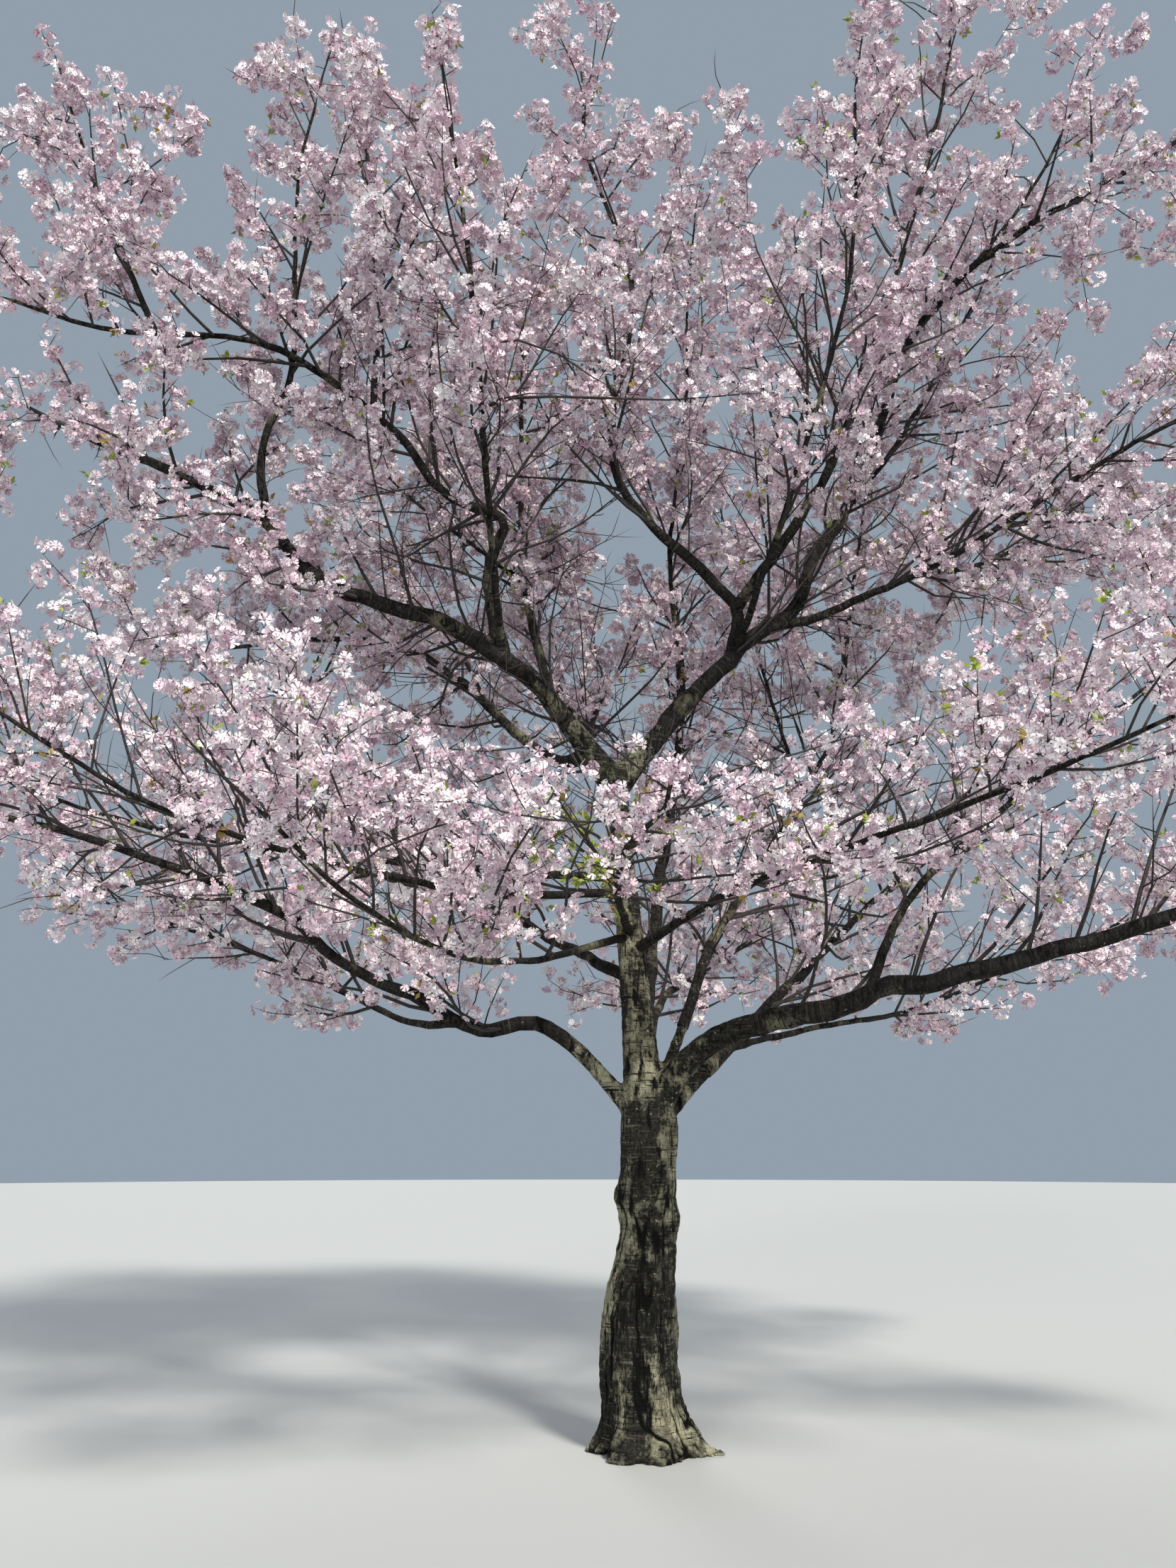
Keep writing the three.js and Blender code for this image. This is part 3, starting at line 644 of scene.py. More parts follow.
most = most * np.array([FULLER.get(n, 1.0) for n in MASS_NAMES])[nearest]
# a shoot is thinned as a whole, so that what stays is a full sleeve of blossom
lot, lot_edge = rng.uniform(size=len(flowering))[line_of], rng.uniform(size=len(flowering))[line_of]
keep = lot < most / np.maximum(count[inverse], 1)
keep &= rng.uniform(size=len(centres)) < np.clip(0.5 + 0.7 * depth, 0, 1)
keep &= (depth < 1.22) | (lot_edge < 0.6)
keep &= depth < 2.2
leaf_points = np.vstack([c[1:] for c in leafy])
keep &= (np.linalg.norm(centres[:, None] - leaf_points[None], axis=2).min(1) > 0.09) | (rng.uniform(size=len(depth)) < 0.2)
# little blossom hangs in front of those shoots
seen, leaves_seen = centres - np.array(EYE), leaf_points[leaf_points[:, 0] < -0.24] - np.array(EYE)
far, leaf_far = np.linalg.norm(seen, axis=1), np.linalg.norm(leaves_seen, axis=1)
apart_by = np.where(far[:, None] < leaf_far[None], 1 - (seen / far[:, None]) @ (leaves_seen / leaf_far[:, None]).T, 1).min(1)
keep &= (apart_by > 0.5 * 0.014**2) | (rng.uniform(size=len(depth)) < 0.2)
# in front of the foot of the upper fork the head is open
x, y, z = centres.T
window = (y < -0.12) & (abs(x - 0.03) < 0.53) & (z > 3.95 + 0.31 * y) & (z < 4.95 + 0.44 * y)
keep &= ~window | (rng.uniform(size=len(depth)) < 0.08)
print("opened", int(window.sum()))
# shoots that bear nothing are left out, but for a few and the net of twigs in the open middle
borne = np.bincount(line_of, keep, len(flowering))
bare_shoots = {id(flowering[k][0]) for k in range(len(flowering)) if borne[k] == 0}
stay = [id(row[0]) not in bare_shoots or in_core(row[0][-1]) or rng.uniform() < 0.06 for row in shoots]
gone = {id(row[0]) for row, yes in zip(shoots, stay) if not yes}
kept = [row for row, yes in zip(shoots, stay) if yes]
twigs = [row for row in twigs if twig_on.get(id(row[0])) not in gone]
print("shoots kept", len(kept), "of", len(shoots), "twigs", len(twigs))
shoots = kept
centres, outward, feet, shade_of, nearest = (q[keep] for q in (centres, outward, feet, shade_of, nearest))
groups = sorted({row[6] for row in MASSES.values()})
group_of = np.array([groups.index(MASSES[n][6]) for n in MASS_NAMES])[nearest]
print("clusters", len(centres), "of", len(keep))


# ---- meshes from arrays --------------------------------------------------------------
def mesh_piece(name, vertices, triangles, slots, materials, smooth=False, attributes=()):
    me = bpy.data.meshes.new(name)
    me.vertices.add(len(vertices))
    me.vertices.foreach_set("co", np.ascontiguousarray(vertices, np.float32).ravel())
    me.loops.add(triangles.size)
    me.loops.foreach_set("vertex_index", np.ascontiguousarray(triangles, np.int32).ravel())
    me.polygons.add(len(triangles))
    me.polygons.foreach_set("loop_start", np.arange(0, triangles.size, 3, dtype=np.int32))
    if slots is not None:
        me.polygons.foreach_set("material_index", np.ascontiguousarray(slots, np.int32))
    me.update(calc_edges=True)
    me.validate()
    if smooth:
        me.polygons.foreach_set("use_smooth", np.ones(len(me.polygons), bool))
    for key, values in attributes:
        a = me.attributes.new(key, "FLOAT", "POINT")
        a.data.foreach_set("value", np.ascontiguousarray(values, np.float32))
    ob = bpy.data.objects.new(name, me)
    bpy.context.scene.collection.objects.link(ob)
    for m in materials:
        me.materials.append(m)
    return ob


def tube(line, radii, sides, relief=None):
    """Vertices, triangles and distance along for a tube that runs out to a point; its
    foot stays open, inside what carries it."""
    t = tangents(line)
    n = len(line) - 1
    a, _ = across(t[0])
    turn = np.arange(sides) * 2 * math.pi / sides
    rings = np.empty((n, sides, 3))
    for i in range(n):
        a = unit(a - t[i] * np.dot(a, t[i]))
        b = np.cross(t[i], a)
        r = radii[i] if relief is None else radii[i] * relief[i][:, None]
        rings[i] = line[i] + r * (np.cos(turn)[:, None] * a + np.sin(turn)[:, None] * b)
    v = np.vstack([rings.reshape(-1, 3), line[-1:]])
    i = np.arange(n - 1)[:, None] * sides
    j = np.arange(sides)[None]
    k = (j + 1) % sides
    q = np.stack([i + j, i + k, i + sides + k, i + sides + j], -1).reshape(-1, 4)
    j = np.arange(sides)
    last = (n - 1) * sides
    f = np.vstack(
        [
            q[:, [0, 1, 2]],
            q[:, [0, 2, 3]],
            np.stack([np.full(sides, n * sides), last + j, last + (j + 1) % sides], 1),
        ]
    )
    s = lengths(line)
    return v, f, np.r_[np.repeat(s[:-1], sides), s[-1]]


def thin(line, n):
    s = lengths(line)
    return resample(line, s, n)


def join_tubes(rows, sides, points_for):
    vs, fs, ss, base = [], [], [], 0
    for line, r0, r1 in rows:
        n = points_for(lengths(line)[-1])
        c = thin(line, n)
        v, f, s = tube(c, r0 + (r1 - r0) * np.linspace(0, 1, n), sides)
        vs.append(v)
        fs.append(f + base)
        ss.append(s)
        base += len(v)
    return np.vstack(vs), np.vstack(fs), np.concatenate(ss)


# ---- materials -----------------------------------------------------------------------
def principled(name, colour, rough, **extra):
    m = bpy.data.materials.new(name)
    m.use_nodes = True
    b = m.node_tree.nodes["Principled BSDF"]
    b.inputs["Base Color"].default_value = (*colour, 1)
    b.inputs["Roughness"].default_value = rough
    for k, v in extra.items():
        b.inputs[k].default_value = v
    return m


def mottled(name, dark, light, rough, scale, bump):
    """A finish that varies between two close tones, with a fine unevenness."""
    m = principled(name, light, rough)
    nt = m.node_tree
    b = nt.nodes["Principled BSDF"]
    geo = nt.nodes.new("ShaderNodeNewGeometry")
    n = nt.nodes.new("ShaderNodeTexNoise")
    n.inputs["Scale"].default_value = scale
    n.inputs["Detail"].default_value = 2
    nt.links.new(geo.outputs["Position"], n.inputs["Vector"])
    r = nt.nodes.new("ShaderNodeMapRange")
    r.inputs["From Min"].default_value = 0.36
    r.inputs["From Max"].default_value = 0.64
    nt.links.new(n.outputs["Fac"], r.inputs["Value"])
    k = nt.nodes.new("ShaderNodeMix")
    k.data_type = "RGBA"
    k.inputs[6].default_value = (*dark, 1)
    k.inputs[7].default_value = (*light, 1)
    nt.links.new(r.outputs[0], k.inputs[0])
    nt.links.new(k.outputs[2], b.inputs["Base Color"])
    if bump:
        h = nt.nodes.new("ShaderNodeBump")
        h.inputs["Strength"].default_value = bump
        h.inputs["Distance"].default_value = 0.002
        nt.links.new(n.outputs["Fac"], h.inputs["Height"])
        nt.links.new(h.outputs[0], b.inputs["Normal"])
    return m


def bark_material(name, dark, mid, lichen_and_sun_patch, pore, lichen_and_sun_share, bump, upright=False):
    """Bark: level bands of pores round the stem, broad pale areas of lichen mixed with painted sunlight, dark cracks,
    and painted shade in the furrows of the trunk.
    """
    m = bpy.data.materials.new(name)
    m.use_nodes = True
    nt = m.node_tree
    b = nt.nodes["Principled BSDF"]

    def node(kind, **values):
        n = nt.nodes.new(kind)
        for k, v in values.items():
            setattr(n, k, v)
        return n

    def link(a, c):
        nt.links.new(a, c)

    geo = node("ShaderNodeNewGeometry")
    along = node("ShaderNodeAttribute", attribute_name="along")
    split = node("ShaderNodeSeparateXYZ")
    link(geo.outputs["Position"], split.inputs[0])

    def stretched(sx, sy, sz, use_along):
        c = node("ShaderNodeCombineXYZ")
        for i, (axis, scale) in enumerate((("X", sx), ("Y", sy))):
            k = node("ShaderNodeMath", operation="MULTIPLY")
            k.inputs[1].default_value = scale
            link(split.outputs[axis], k.inputs[0])
            link(k.outputs[0], c.inputs[i])
        k = node("ShaderNodeMath", operation="MULTIPLY")
        k.inputs[1].default_value = sz
        link(along.outputs["Fac"] if use_along else split.outputs["Z"], k.inputs[0])
        link(k.outputs[0], c.inputs[2])
        return c.outputs[0]

    def tex(vector, scale, detail, rough=0.6):
        n = node("ShaderNodeTexNoise")
        n.inputs["Scale"].default_value = scale
        n.inputs["Detail"].default_value = detail
        n.inputs["Roughness"].default_value = rough
        link(vector, n.inputs["Vector"])
        return n.outputs["Fac"]

    def ramp(fac, low, high):
        r = node("ShaderNodeMapRange")
        r.inputs["From Min"].default_value = low
        r.inputs["From Max"].default_value = high
        link(fac, r.inputs["Value"])
        return r.outputs[0]

    def mix(fac, a, c):
        n = node("ShaderNodeMix", data_type="RGBA")
        link(fac, n.inputs[0])
        for socket, value in ((n.inputs[6], a), (n.inputs[7], c)):
            if isinstance(value, tuple):
                socket.default_value = (*value, 1)
            else:
                link(value, socket)
        return n.outputs[2]

    def add(a, c, share):
        k = node("ShaderNodeMath", operation="MULTIPLY_ADD")
        link(c, k.inputs[0])
        k.inputs[1].default_value = share
        link(a, k.inputs[2])
        return k.outputs[0]

    bands = tex(stretched(6, 6, 80, True), 1.0, 3)
    cracks = tex(stretched(24, 24, 5, False), 1.0, 4)
    checks = tex(stretched(64, 64, 14, False), 1.0, 3)
    broad = tex(geo.outputs["Position"], 1.9, 2)
    grit = tex(geo.outputs["Position"], 55, 5)
    knots = tex(geo.outputs["Position"], 17, 4)
    wide = stretched(3.8, 3.8, 1.7, False) if upright else geo.outputs["Position"]
    # broad pale patches: lichen in part, and in part painted sunlight, the dapples of sun that fall through the crown
    patches = add(add(tex(wide, 1.0 if upright else 3.4, 4, 0.6), knots, 0.30), grit, 0.16)
    specks = tex(geo.outputs["Position"], 40, 3)
    furrow_shade = node("ShaderNodeAttribute", attribute_name="furrow_shade")
    colour = mix(ramp(add(grit, knots, 0.6), 0.62, 0.98), dark, mid)
    colour = mix(ramp(patches, lichen_and_sun_share, lichen_and_sun_share + 0.18), colour, lichen_and_sun_patch)
    colour = mix(ramp(bands, 0.58, 0.70), colour, pore)
    colour = mix(ramp(bands, 0.41, 0.33), colour, tuple(0.8 * c for c in dark))
    colour = mix(ramp(specks, 0.67, 0.72), colour, tuple(1.25 * c for c in lichen_and_sun_patch[:2]) + (1.5 * lichen_and_sun_patch[2],))
    colour = mix(ramp(add(checks, broad, 0.5), 0.70, 0.58), colour, tuple(0.9 * c for c in dark))
    colour = mix(ramp(cracks, 0.45, 0.37), colour, tuple(0.5 * c for c in dark))
    # painted shade: the deep furrows of the trunk's relief are darkened
    colour = mix(ramp(furrow_shade.outputs["Fac"], 0.06, 0.50), colour, tuple(0.4 * c for c in dark))
    link(colour, b.inputs["Base Color"])
    b.inputs["Roughness"].default_value = 0.86
    b.inputs["Specular IOR Level"].default_value = 0.12
    height = node("ShaderNodeMath", operation="ADD")
    k = node("ShaderNodeMath", operation="MULTIPLY")
    k.inputs[1].default_value = 0.6
    link(bands, k.inputs[0])
    link(k.outputs[0], height.inputs[0])
    h2 = node("ShaderNodeMath", operation="ADD")
    link(cracks, h2.inputs[0])
    link(add(grit, checks, 0.9), h2.inputs[1])
    link(h2.outputs[0], height.inputs[1])
    bp = node("ShaderNodeBump")
    bp.inputs["Strength"].default_value = bump
    bp.inputs["Distance"].default_value = 0.018
    link(height.outputs[0], bp.inputs["Height"])
    link(bp.outputs[0], b.inputs["Normal"])
    return m


# The pale patch tone and share of each bark give lichen together with painted patches of sunlight.
TRUNK_BARK = bark_material("trunk_bark", (0.008, 0.008, 0.007), (0.042, 0.040, 0.031), (0.390, 0.376, 0.254), (0.125, 0.115, 0.085), 0.715, 1.0, True)
BOUGH_BARK = bark_material("bough_bark", (0.010, 0.009, 0.009), (0.034, 0.031, 0.027), (0.180, 0.170, 0.110), (0.080, 0.070, 0.054), 0.785, 0.8)
TWIG = mottled("twig", (0.014, 0.011, 0.011), (0.034, 0.027, 0.024), 0.75, 70, 0.5)
NEW_TWIG = mottled("new_twig", (0.024, 0.015, 0.014), (0.052, 0.031, 0.027), 0.7, 90, 0.3)


def petal(name, colour):
    return mottled(name, tuple(0.93 * c for c in colour), colour, 0.65, 45, 0)


PETALS = [
    petal("petal_a", (0.845, 0.765, 0.800)),
    petal("petal_b", (0.825, 0.710, 0.760)),
    petal("petal_c", (0.785, 0.630, 0.695)),
    petal("petal_d", (0.880, 0.830, 0.848)),
    # dark mauve tone, painted shade on flowers in the shadowed parts of the clusters
    petal("petal_painted_shade", (0.545, 0.385, 0.465)),
]
EYE_PINK = mottled("flower_eye", (0.24, 0.045, 0.09), (0.36, 0.08, 0.14), 0.7, 120, 0)
LEAVES = [
    mottled("leaf_green", (0.19, 0.24, 0.028), (0.32, 0.37, 0.055), 0.5, 60, 0),
    mottled("leaf_bronze", (0.26, 0.17, 0.045), (0.36, 0.27, 0.065), 0.5, 60, 0),
]

# ---- trunk and the feet of the boughs, run together in one skin ----------------------
ring = np.array(TRUNK_RINGS, float)


def apart(a, b):
    return np.abs((a - b + 540) % 360 - 180)


def trunk_radius(bearing, z):
    """Metres, from a bearing in degrees and a height in millimetres."""
    r = np.interp(z, ring[:, 0], ring[:, 2])
    low = np.exp(-z / ROOT_FADE)
    for at, reach, half in ROOTS:
        r = r + reach * low * np.exp(-((apart(bearing, at) / half) ** 2))
    for h, at, out, tall, half in BURLS:
        r = r + out * np.exp(-((apart(bearing, at) / half) ** 2) - ((z - h) / tall) ** 2)
    return r * (1 + 0.022 * np.sin(np.radians(bearing * 3 + z * 0.05))) / 1000


def smoothed(values, n=5):
    k = np.ones(n) / n
    return np.convolve(np.pad(values, n // 2, mode="edge"), k, mode="valid")


def trunk_skin(sides=72, step=0.02):
    z = np.arange(0, 1.87 + step / 2, step)
    b = np.arange(sides) * 360 / sides
    x = smoothed(np.interp(z * 1000, ring[:, 0], ring[:, 1]), 9) / 1000
    rr = np.array([trunk_radius(b, h * 1000) for h in z])
    for k in range(sides):
        rr[2:-2, k] = smoothed(rr[:, k], 5)[2:-2]
    v = np.stack(
        [
            x[:, None] + rr * np.cos(np.radians(b)),
            rr * np.sin(np.radians(b)),
            np.repeat(z[:, None], sides, 1),
        ],
        -1,
    ).reshape(-1, 3)
    n = len(z)
    i = np.arange(n - 1)[:, None] * sides
    j = np.arange(sides)[None]
    k = (j + 1) % sides
    q = np.stack([i + j, i + k, i + sides + k, i + sides + j], -1).reshape(-1, 4)
    f = np.vstack([q[:, [0, 1, 2]], q[:, [0, 2, 3]]])
    foot, top = len(v), len(v) + 1
    v = np.vstack([v, [[x[0], 0, 0]], [[x[-1], 0, z[-1] + 0.03]]])
    j = np.arange(sides)
    f = np.vstack(
        [
            f,
            np.stack([np.full(sides, foot), (j + 1) % sides, j], 1),
            np.stack([np.full(sides, top), (n - 1) * sides + j, (n - 1) * sides + (j + 1) % sides], 1),
        ]
    )
    return v, f


KNOTS = [
    # old branch scars: height and bearing in mm and degrees, stand-out and half width in metres
    (1345, 196, 0.026, 0.050),
    (1245, -24, 0.016, 0.045),
    (1010, 262, 0.012, 0.040),
    (1560, 301, 0.012, 0.045),
    (720, 236, 0.010, 0.050),
    (1480, 120, 0.016, 0.050),
    (860, 60, 0.014, 0.055),
    (1120, 150, 0.012, 0.045),
]

# How far up each limb the shared skin goes, in metres.
SKIN_TO = {"leader": 9, "low_right": 1.0, "low_left": 0.7, "back_right": 0.75, "inner_right": 0.7, "back_stem": 0.75, "back_low": 0.6, "v_left": 0.55, "v_right": 0.55}
COLLAR = 0.42  # how much a limb swells at its foot


def limb_radii(name, s):
    r = np.interp(s / s[-1], np.linspace(0, 1, len(RADII[name])), RADII[name])
    r0 = RADII[name][0]
    return r * (1 + COLLAR * np.exp(-s / (3.2 * r0)))


vs, fs, base = [], [], 0
v, f = trunk_skin()
vs.append(v)
fs.append(f)
base += len(v)
for name, reach in SKIN_TO.items():
    line = LINES[name]
    s = lengths(line)
    keep = s <= reach
    v, f, _ = tube(line[keep], limb_radii(name, s)[keep], 24)
    ring0 = np.arange(24)
    f = np.vstack([f, np.stack([np.zeros(22, int), ring0[2:], ring0[1:-1]], 1)])
    vs.append(v)
    fs.append(f + base)
    base += len(v)
skin = mesh_piece("trunk_and_forks", np.vstack(vs), np.vstack(fs), None, [TRUNK_BARK])
mod = skin.modifiers.new("skin", "REMESH")
mod.mode = "VOXEL"
mod.voxel_size = 0.0165
dg = bpy.context.evaluated_depsgraph_get()
made = bpy.data.meshes.new_from_object(skin.evaluated_get(dg))
skin.modifiers.clear()
skin.data = made
me = skin.data
me.materials.clear()
me.materials.append(TRUNK_BARK)
n = len(me.vertices)
co = np.empty(n * 3, np.float32)
me.vertices.foreach_get("co", co)
co = co.reshape(-1, 3).astype(float)
edges = np.empty(len(me.edges) * 2, np.int32)
me.edges.foreach_get("vertices", edges)
edges = edges.reshape(-1, 2)
for _ in range(7):
    total = np.zeros((n, 3))
    count = np.zeros(n)
    np.add.at(total, edges[:, 0], co[edges[:, 1]])
    np.add.at(total, edges[:, 1], co[edges[:, 0]])
    np.add.at(count, edges.ravel(), 1)
    co = co + 0.5 * (total / np.maximum(count, 1)[:, None] - co)
me.vertices.foreach_set("co", co.astype(np.float32).ravel())
me.update()
bm = bmesh.new()
bm.from_mesh(me)
fine = {e for f in bm.faces if f.calc_center_median()[2] < 1.5 for e in f.edges}
bmesh.ops.subdivide_edges(bm, edges=list(fine), cuts=1, use_grid_fill=True, smooth=0.35)
bmesh.ops.triangulate(bm, faces=[f for f in bm.faces if len(f.verts) > 4])
bm.to_mesh(me)
bm.free()
me.update()
n = len(me.vertices)
co = np.empty(n * 3, np.float32)
me.vertices.foreach_get("co", co)
co = co.reshape(-1, 3).astype(float)
normals = np.empty(n * 3, np.float32)
me.vertices.foreach_get("normal", normals)
normals = normals.reshape(-1, 3)
relief = np.empty(n)
furrow_shade = np.zeros(n)
for i in range(n):
    x, y, z = co[i]
    low = min(1.0, max(0.0, (1.78 - z) / 0.8))
    wander = 0.035 * noise.noise(Vector((x * 3, y * 3, z * 5)))
    a = noise.noise(Vector(((x + wander) * 13, (y + wander) * 13, z * 2.6)))
    plates = noise.noise(Vector((x * 11 + 3, y * 11, z * 7))) + 0.6 * noise.noise(Vector((x * 40, y * 40, z * 22)))
    crack = max(0.0, 1 - abs(a) / 0.14) * min(1.0, max(0.0, 0.62 + 1.3 * noise.noise(Vector((x * 5, y * 5 + 4, z * 3.4)))))
    bands = noise.noise(Vector((x * 5 + 9, y * 5, z * 34)))
    broad = noise.noise(Vector((x * 4.5, y * 4.5 + 5, z * 2.6)))
    foot = math.exp(-z / 0.15)
    lumps = noise.noise(Vector((x * 12, y * 12 + 7, z * 10)))
    ribs = noise.noise(Vector((x * 7, y * 7, z * 1.2 + 2)))
    # the furrow mask, where the bark material paints shade into the deep cracks
    furrow_shade[i] = low * crack
    relief[i] = (
        0.0085 * (0.35 + low + 0.9 * foot) * plates
        - 0.0200 * low * crack
        + 0.0030 * (1.2 - 0.6 * low) * bands
        + 0.016 * broad * (0.3 + low)
        + 0.022 * low * ribs
        + 0.017 * foot * lumps
    )
for h, bearing, out, wide in KNOTS:
    b = math.radians(bearing)
    d = np.array([math.cos(b), math.sin(b)])
    at = np.array([np.interp(h, ring[:, 0], ring[:, 1]) / 1000, 0]) + d * trunk_radius(bearing, h)
    q = np.sqrt(((co[:, :2] - at) ** 2).sum(1) + (co[:, 2] - h / 1000) ** 2) / wide
    relief += out * (np.exp(-(q**2)) - 0.75 * np.exp(-((q / 0.42) ** 2)))
co = co + normals * relief[:, None]
co[:, 2] = np.maximum(co[:, 2], 0)
co[co[:, 2] < 0.006, 2] = 0
me.vertices.foreach_set("co", co.astype(np.float32).ravel())
me.polygons.foreach_set("use_smooth", np.ones(len(me.polygons), bool))
a = me.attributes.new("along", "FLOAT", "POINT")
a.data.foreach_set("value", co[:, 2].astype(np.float32))
a = me.attributes.new("furrow_shade", "FLOAT", "POINT")
a.data.foreach_set("value", furrow_shade.astype(np.float32))
me.update()
print("trunk skin", sum(len(p.vertices) - 2 for p in me.polygons), "triangles")

# ---- boughs --------------------------------------------------------------------------
vs, fs, ss, base = [], [], [], 0
for name in LIMBS:
    if name == "leader":
        continue
    line = LINES[name]
    s = lengths(line)
    start = max(0.0, SKIN_TO.get(name, 0) - 0.12)
    count = max(6, int((s[-1] - start) / 0.085))
    at = np.linspace(start, s[-1], count)
    c = np.stack([np.interp(at, s, line[:, k]) for k in range(3)], 1)
    r = np.interp(at, s, limb_radii(name, s))
    if start > 0:
        r = r - 0.002
    c = c + 0.38 * r[:, None] * np.stack([np.interp(at, np.linspace(start, s[-1], count), smoothed(rng.normal(0, 1, count), 3)) for _ in range(3)], 1) * np.minimum(1, np.arange(count) / 4)[:, None]
    sides = 12 if RADII[name][0] > 0.035 else 8
    turn = np.arange(sides)
    relief = 1 + 0.07 * smoothed(rng.normal(0, 1, count), 3)[:, None] + 0.05 * rng.normal(0, 1, (count, sides))
    v, f, d = tube(c, r, sides, relief)
    vs.append(v)
    fs.append(f + base)
    ss.append(d + start)
    base += len(v)
bark = mesh_piece("boughs", np.vstack(vs), np.vstack(fs), None, [BOUGH_BARK], True, [("along", np.concatenate(ss))])
print("boughs", len(bark.data.polygons))

v2, f2, s2 = join_tubes(second, 5, lambda d: max(4, int(d / 0.17)))
v3, f3, s3 = join_tubes(shoots, 3, lambda d: 3 if d < 0.24 else 4)
v5, f5, s5 = join_tubes(inner, 4, lambda d: max(4, int(d / 0.2)))
v4, f4, s4 = join_tubes(twigs, 3, lambda d: 3 if d < 0.28 else 4)
branch_piece = mesh_piece("branches", np.vstack([v2, v5]), np.vstack([f2, f5 + len(v2)]), None, [TWIG], True, [("along", np.r_[s2, s5])])
shoot_piece = mesh_piece("shoots", v3, f3, None, [TWIG], True, [("along", s3)])
twig_piece = mesh_piece("twigs", v4, f4, None, [NEW_TWIG], True)
print("branches", len(f2) + len(f5), "shoots", len(f3), "twigs", len(f4))

# short spurs that carry the clusters
tip = centres
side_a = np.cross(outward, [0.3, 0.5, 0.81])
side_a /= np.linalg.norm(side_a, axis=1, keepdims=True)
side_b = np.cross(outward, side_a)
ring3 = [feet + 0.0026 * (side_a * math.cos(w) + side_b * math.sin(w)) for w in (0, 2.09, 4.19)]
v6 = np.stack(ring3 + [tip], 1).reshape(-1, 3)
f6 = (np.array([[0, 1, 3], [1, 2, 3], [2, 0, 3]])[None] + 4 * np.arange(len(tip))[:, None, None]).reshape(-1, 3)
spur_piece = mesh_piece("spurs", v6, f6, None, [NEW_TWIG])

# ---- blossom -------------------------------------------------------------------------
def flower_template(full):
    """One flower facing +Z with petals 1 long: vertices and triangles."""
    v, f = [(0, 0, -0.08)], []
    for k in range(5):
        a = math.radians(72 * k)
        half = math.radians(25 if full else 27)
        pts = [(a - half, 0.97, 0.24), (a + half, 0.97, 0.30)]
        if full:
            pts.insert(1, (a, 0.84, 0.34))
        i = len(v)
        v += [(r * math.cos(w), r * math.sin(w), h) for w, r, h in pts]
        f += [(0, i, i + 1), (0, i + 1, i + 2)] if full else [(0, i, i + 1)]
    return np.array(v, float), np.array(f, int)


FULL, PLAIN = flower_template(True), flower_template(False)
EYE_V = np.array([(0.27 * math.cos(w), 0.27 * math.sin(w), 0.06) for w in (0.3, 2.39, 4.49)])
EYE_F = np.array([(0, 1, 2)])

PER_CLUSTER = 10.0
FULL_SHARE = 0.05
near_eye = np.linalg.norm(centres - np.array(EYE), axis=1) < 5.2
pieces = []
total_triangles = 0


def place(template, at, size, facing, spin, cup):
    """Copies of a template's vertices at many places at once, some flat and some cupped."""
    z = facing / np.linalg.norm(facing, axis=1, keepdims=True)
    ref = np.where(np.abs(z[:, 2:3]) < 0.9, np.array([[0, 0, 1.0]]), np.array([[1.0, 0, 0]]))
    x = np.cross(ref, z)
    x /= np.linalg.norm(x, axis=1, keepdims=True)
    y = np.cross(z, x)
    c, s = np.cos(spin)[:, None], np.sin(spin)[:, None]
    x, y = x * c + y * s, -x * s + y * c
    v = template[None] * size[:, None, None]
    v[..., 2] *= cup[:, None]
    return at[:, None] + v[..., 0:1] * x[:, None] + v[..., 1:2] * y[:, None] + v[..., 2:3] * z[:, None]


for g, group in enumerate(groups):
    chosen = group_of == g
    c, o, tone, near = centres[chosen], outward[chosen], shade_of[chosen], near_eye[chosen]
    n_each = rng.poisson(PER_CLUSTER, len(c)).clip(6, 20)
    which = np.repeat(np.arange(len(c)), n_each)
    m = len(which)
    facing = rng.normal(0, 1, (m, 3))
    facing /= np.linalg.norm(facing, axis=1, keepdims=True)
    facing += 0.35 * o[which] - np.array([0, 0, 0.12])
    facing /= np.linalg.norm(facing, axis=1, keepdims=True)
    radius = rng.uniform(0.026, 0.058, m)
    at = c[which] + facing * radius[:, None]
    look = facing + 0.35 * rng.normal(0, 1, (m, 3))
    size = rng.uniform(0.0245, 0.0295, m) * (1 + 0.10 * np.clip((at[:, 2] - 4.5) / 2, 0, 1))
    spin = rng.uniform(0, 2 * math.pi, m)
    cup = rng.uniform(0.2, 2.3, m)
    full = rng.uniform(size=m) < np.where(near[which], 0.95, FULL_SHARE)
    eyed = rng.uniform(size=m) < np.where(full, 0.95, 0.55)
    tones = np.where(rng.uniform(size=m) < 0.82, tone[which], rng.integers(0, 4, m))
    # painted shade: some flowers get the dark mauve petal tone, most of them on the underside of a cluster
    tones = np.where(rng.uniform(size=m) < np.where(facing[:, 2] < -0.25, 0.34, 0.11), 4, tones)
    vs, fs, ms, base = [], [], [], 0
    for mask, (tv, tf), slot in ((full, FULL, None), (~full, PLAIN, None), (eyed, (EYE_V, EYE_F), 5)):
        k = int(mask.sum())
        v = place(tv, at[mask], size[mask], look[mask], spin[mask], cup[mask] if slot is None else np.ones(k))
        f = tf[None] + (np.arange(k) * len(tv))[:, None, None] + base
        vs.append(v.reshape(-1, 3))
        fs.append(f.reshape(-1, 3))
        ms.append(np.repeat(tones[mask], len(tf)) if slot is None else np.full(k * len(tf), slot))
        base += k * len(tv)
    v, f, mt = np.vstack(vs), np.vstack(fs), np.concatenate(ms)
    piece = mesh_piece("flowers_" + group, v, f, mt, PETALS + [EYE_PINK])
    nodes = ["blossom_" + n for n in MASS_NAMES if MASSES[n][6] == group]
    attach(piece, "root")
    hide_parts(*nodes)
    pieces.append(piece)
    total_triangles += len(f)
    print(piece.name, len(f), "triangles", m, "flowers")
print("blossom triangles", total_triangles)

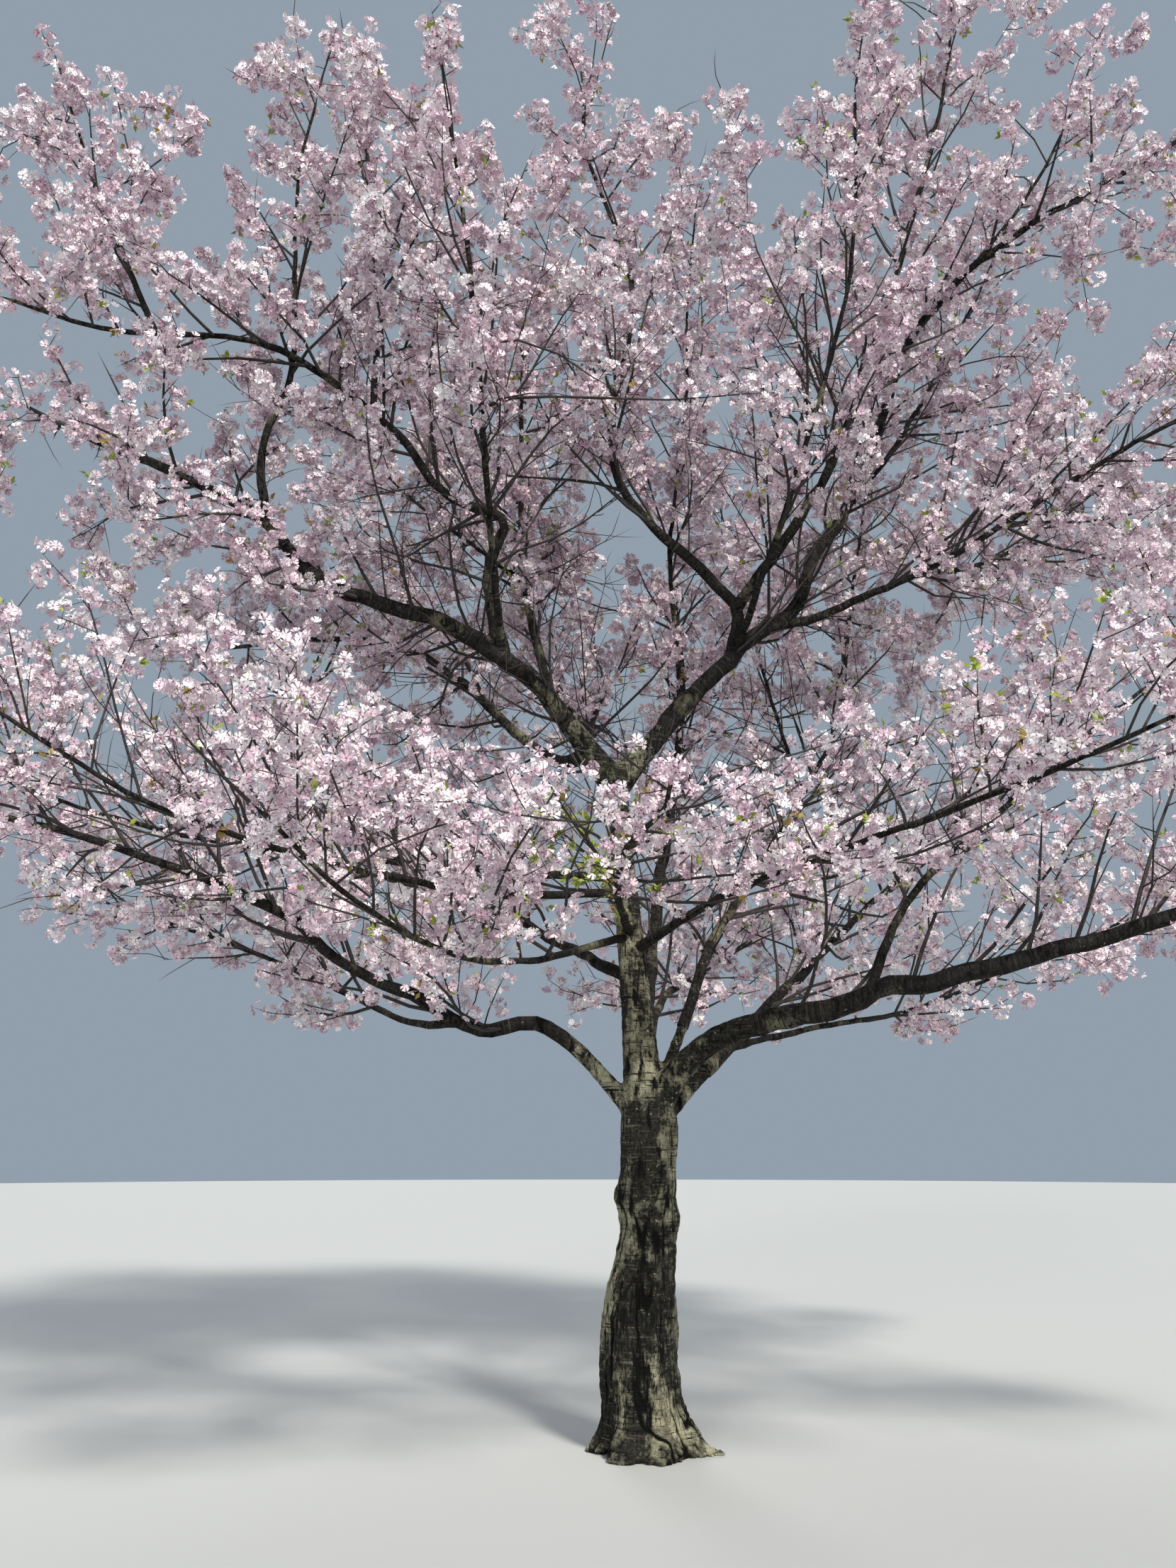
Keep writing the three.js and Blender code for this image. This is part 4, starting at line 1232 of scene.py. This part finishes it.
# young leaves in small tufts among the blossom, and thick on the leafy shoots
LEAF_V = np.array([(0, 0, 0), (-0.24, 0.46, 0.07), (0, 0.50, 0.0), (0.24, 0.46, 0.07), (0, 1.0, -0.10)])
LEAF_F = np.array([(0, 2, 1), (0, 3, 2), (1, 2, 4), (2, 3, 4)])
lit = centres[:, 1] < 0.6
tufts = rng.uniform(size=len(centres)) < np.where(lit & (centres[:, 2] < 5.6), 0.15, 0.10)
at, up, count = [centres[tufts] + 0.038 * outward[tufts]], [outward[tufts]], [rng.integers(3, 7, int(tufts.sum()))]
for c in leafy:
    q = resample(c, lengths(c), max(4, int(lengths(c)[-1] / 0.045)))[1:]
    at.append(q + 0.012 * rng.normal(0, 1, q.shape))
    up.append(tangents(q) + 0.5 * rng.normal(0, 1, q.shape))
    count.append(rng.integers(6, 11, len(q)))
at, up, count = np.vstack(at), np.vstack(up), np.concatenate(count)
which = np.repeat(np.arange(len(at)), count)
m = len(which)
way = up[which] / np.linalg.norm(up[which], axis=1, keepdims=True) + 0.75 * rng.normal(0, 1, (m, 3))
way += np.array([0, 0, 0.25])
way /= np.linalg.norm(way, axis=1, keepdims=True)
flat = np.cross(way, rng.normal(0, 1, (m, 3)))
flat /= np.linalg.norm(flat, axis=1, keepdims=True)
side = np.cross(way, flat)
size = rng.uniform(0.030, 0.062, m)[:, None, None]
v = LEAF_V[None] * size
v = (at[which] + 0.012 * way)[:, None] + v[..., 0:1] * side[:, None] + v[..., 1:2] * way[:, None] + v[..., 2:3] * flat[:, None]
f = LEAF_F[None] + (np.arange(m) * len(LEAF_V))[:, None, None]
tint = np.repeat((rng.uniform(size=len(at)) < 0.22).astype(int)[which], len(LEAF_F))
leaf_piece = mesh_piece("young_leaves", v.reshape(-1, 3), f.reshape(-1, 3), tint, LEAVES)
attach(leaf_piece, "root")
print("leaves", m, "triangles", m * len(LEAF_F), "tufts", len(at))

for piece, slot in ((skin, "trunk_bark"), (bark, "bough_bark"), (branch_piece, "bough_bark"), (shoot_piece, "bough_bark"), (twig_piece, "bough_bark"), (spur_piece, "bough_bark")):
    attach(piece, "root")
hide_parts("trunk", "leader")
shown = [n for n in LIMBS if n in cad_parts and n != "leader"]
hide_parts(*shown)

# ---- floor and light -----------------------------------------------------------------
bpy.ops.mesh.primitive_circle_add(vertices=96, radius=60, fill_type="NGON", location=(0, 0, -0.002))
floor = bpy.context.object
floor.name = "floor"
floor.data.materials.append(principled("floor", (0.45, 0.46, 0.45), 0.9))

world = bpy.data.worlds.new("world")
world.use_nodes = True
world.node_tree.nodes["Background"].inputs[0].default_value = (0.70, 0.84, 1.0, 1)
world.node_tree.nodes["Background"].inputs[1].default_value = 0.41
bpy.context.scene.world = world

sun = bpy.data.lights.new("key", "SUN")
sun.energy = 4.3
sun.angle = math.radians(9)
sun.color = (1.0, 0.955, 0.885)
sun_ob = bpy.data.objects.new("key", sun)
sun_ob.rotation_euler = (math.radians(47), 0, math.radians(30))
bpy.context.scene.collection.objects.link(sun_ob)
for name, energy, tilt, turn, wide in (("fill", 0.85, 74, -20, 12), ("back_light", 0.9, 50, -165, 20)):
    soft = bpy.data.lights.new(name, "SUN")
    soft.energy = energy
    soft.angle = math.radians(wide)
    soft_ob = bpy.data.objects.new(name, soft)
    soft_ob.rotation_euler = (math.radians(tilt), 0, math.radians(turn))
    bpy.context.scene.collection.objects.link(soft_ob)

bpy.context.scene.view_settings.view_transform = "Standard"
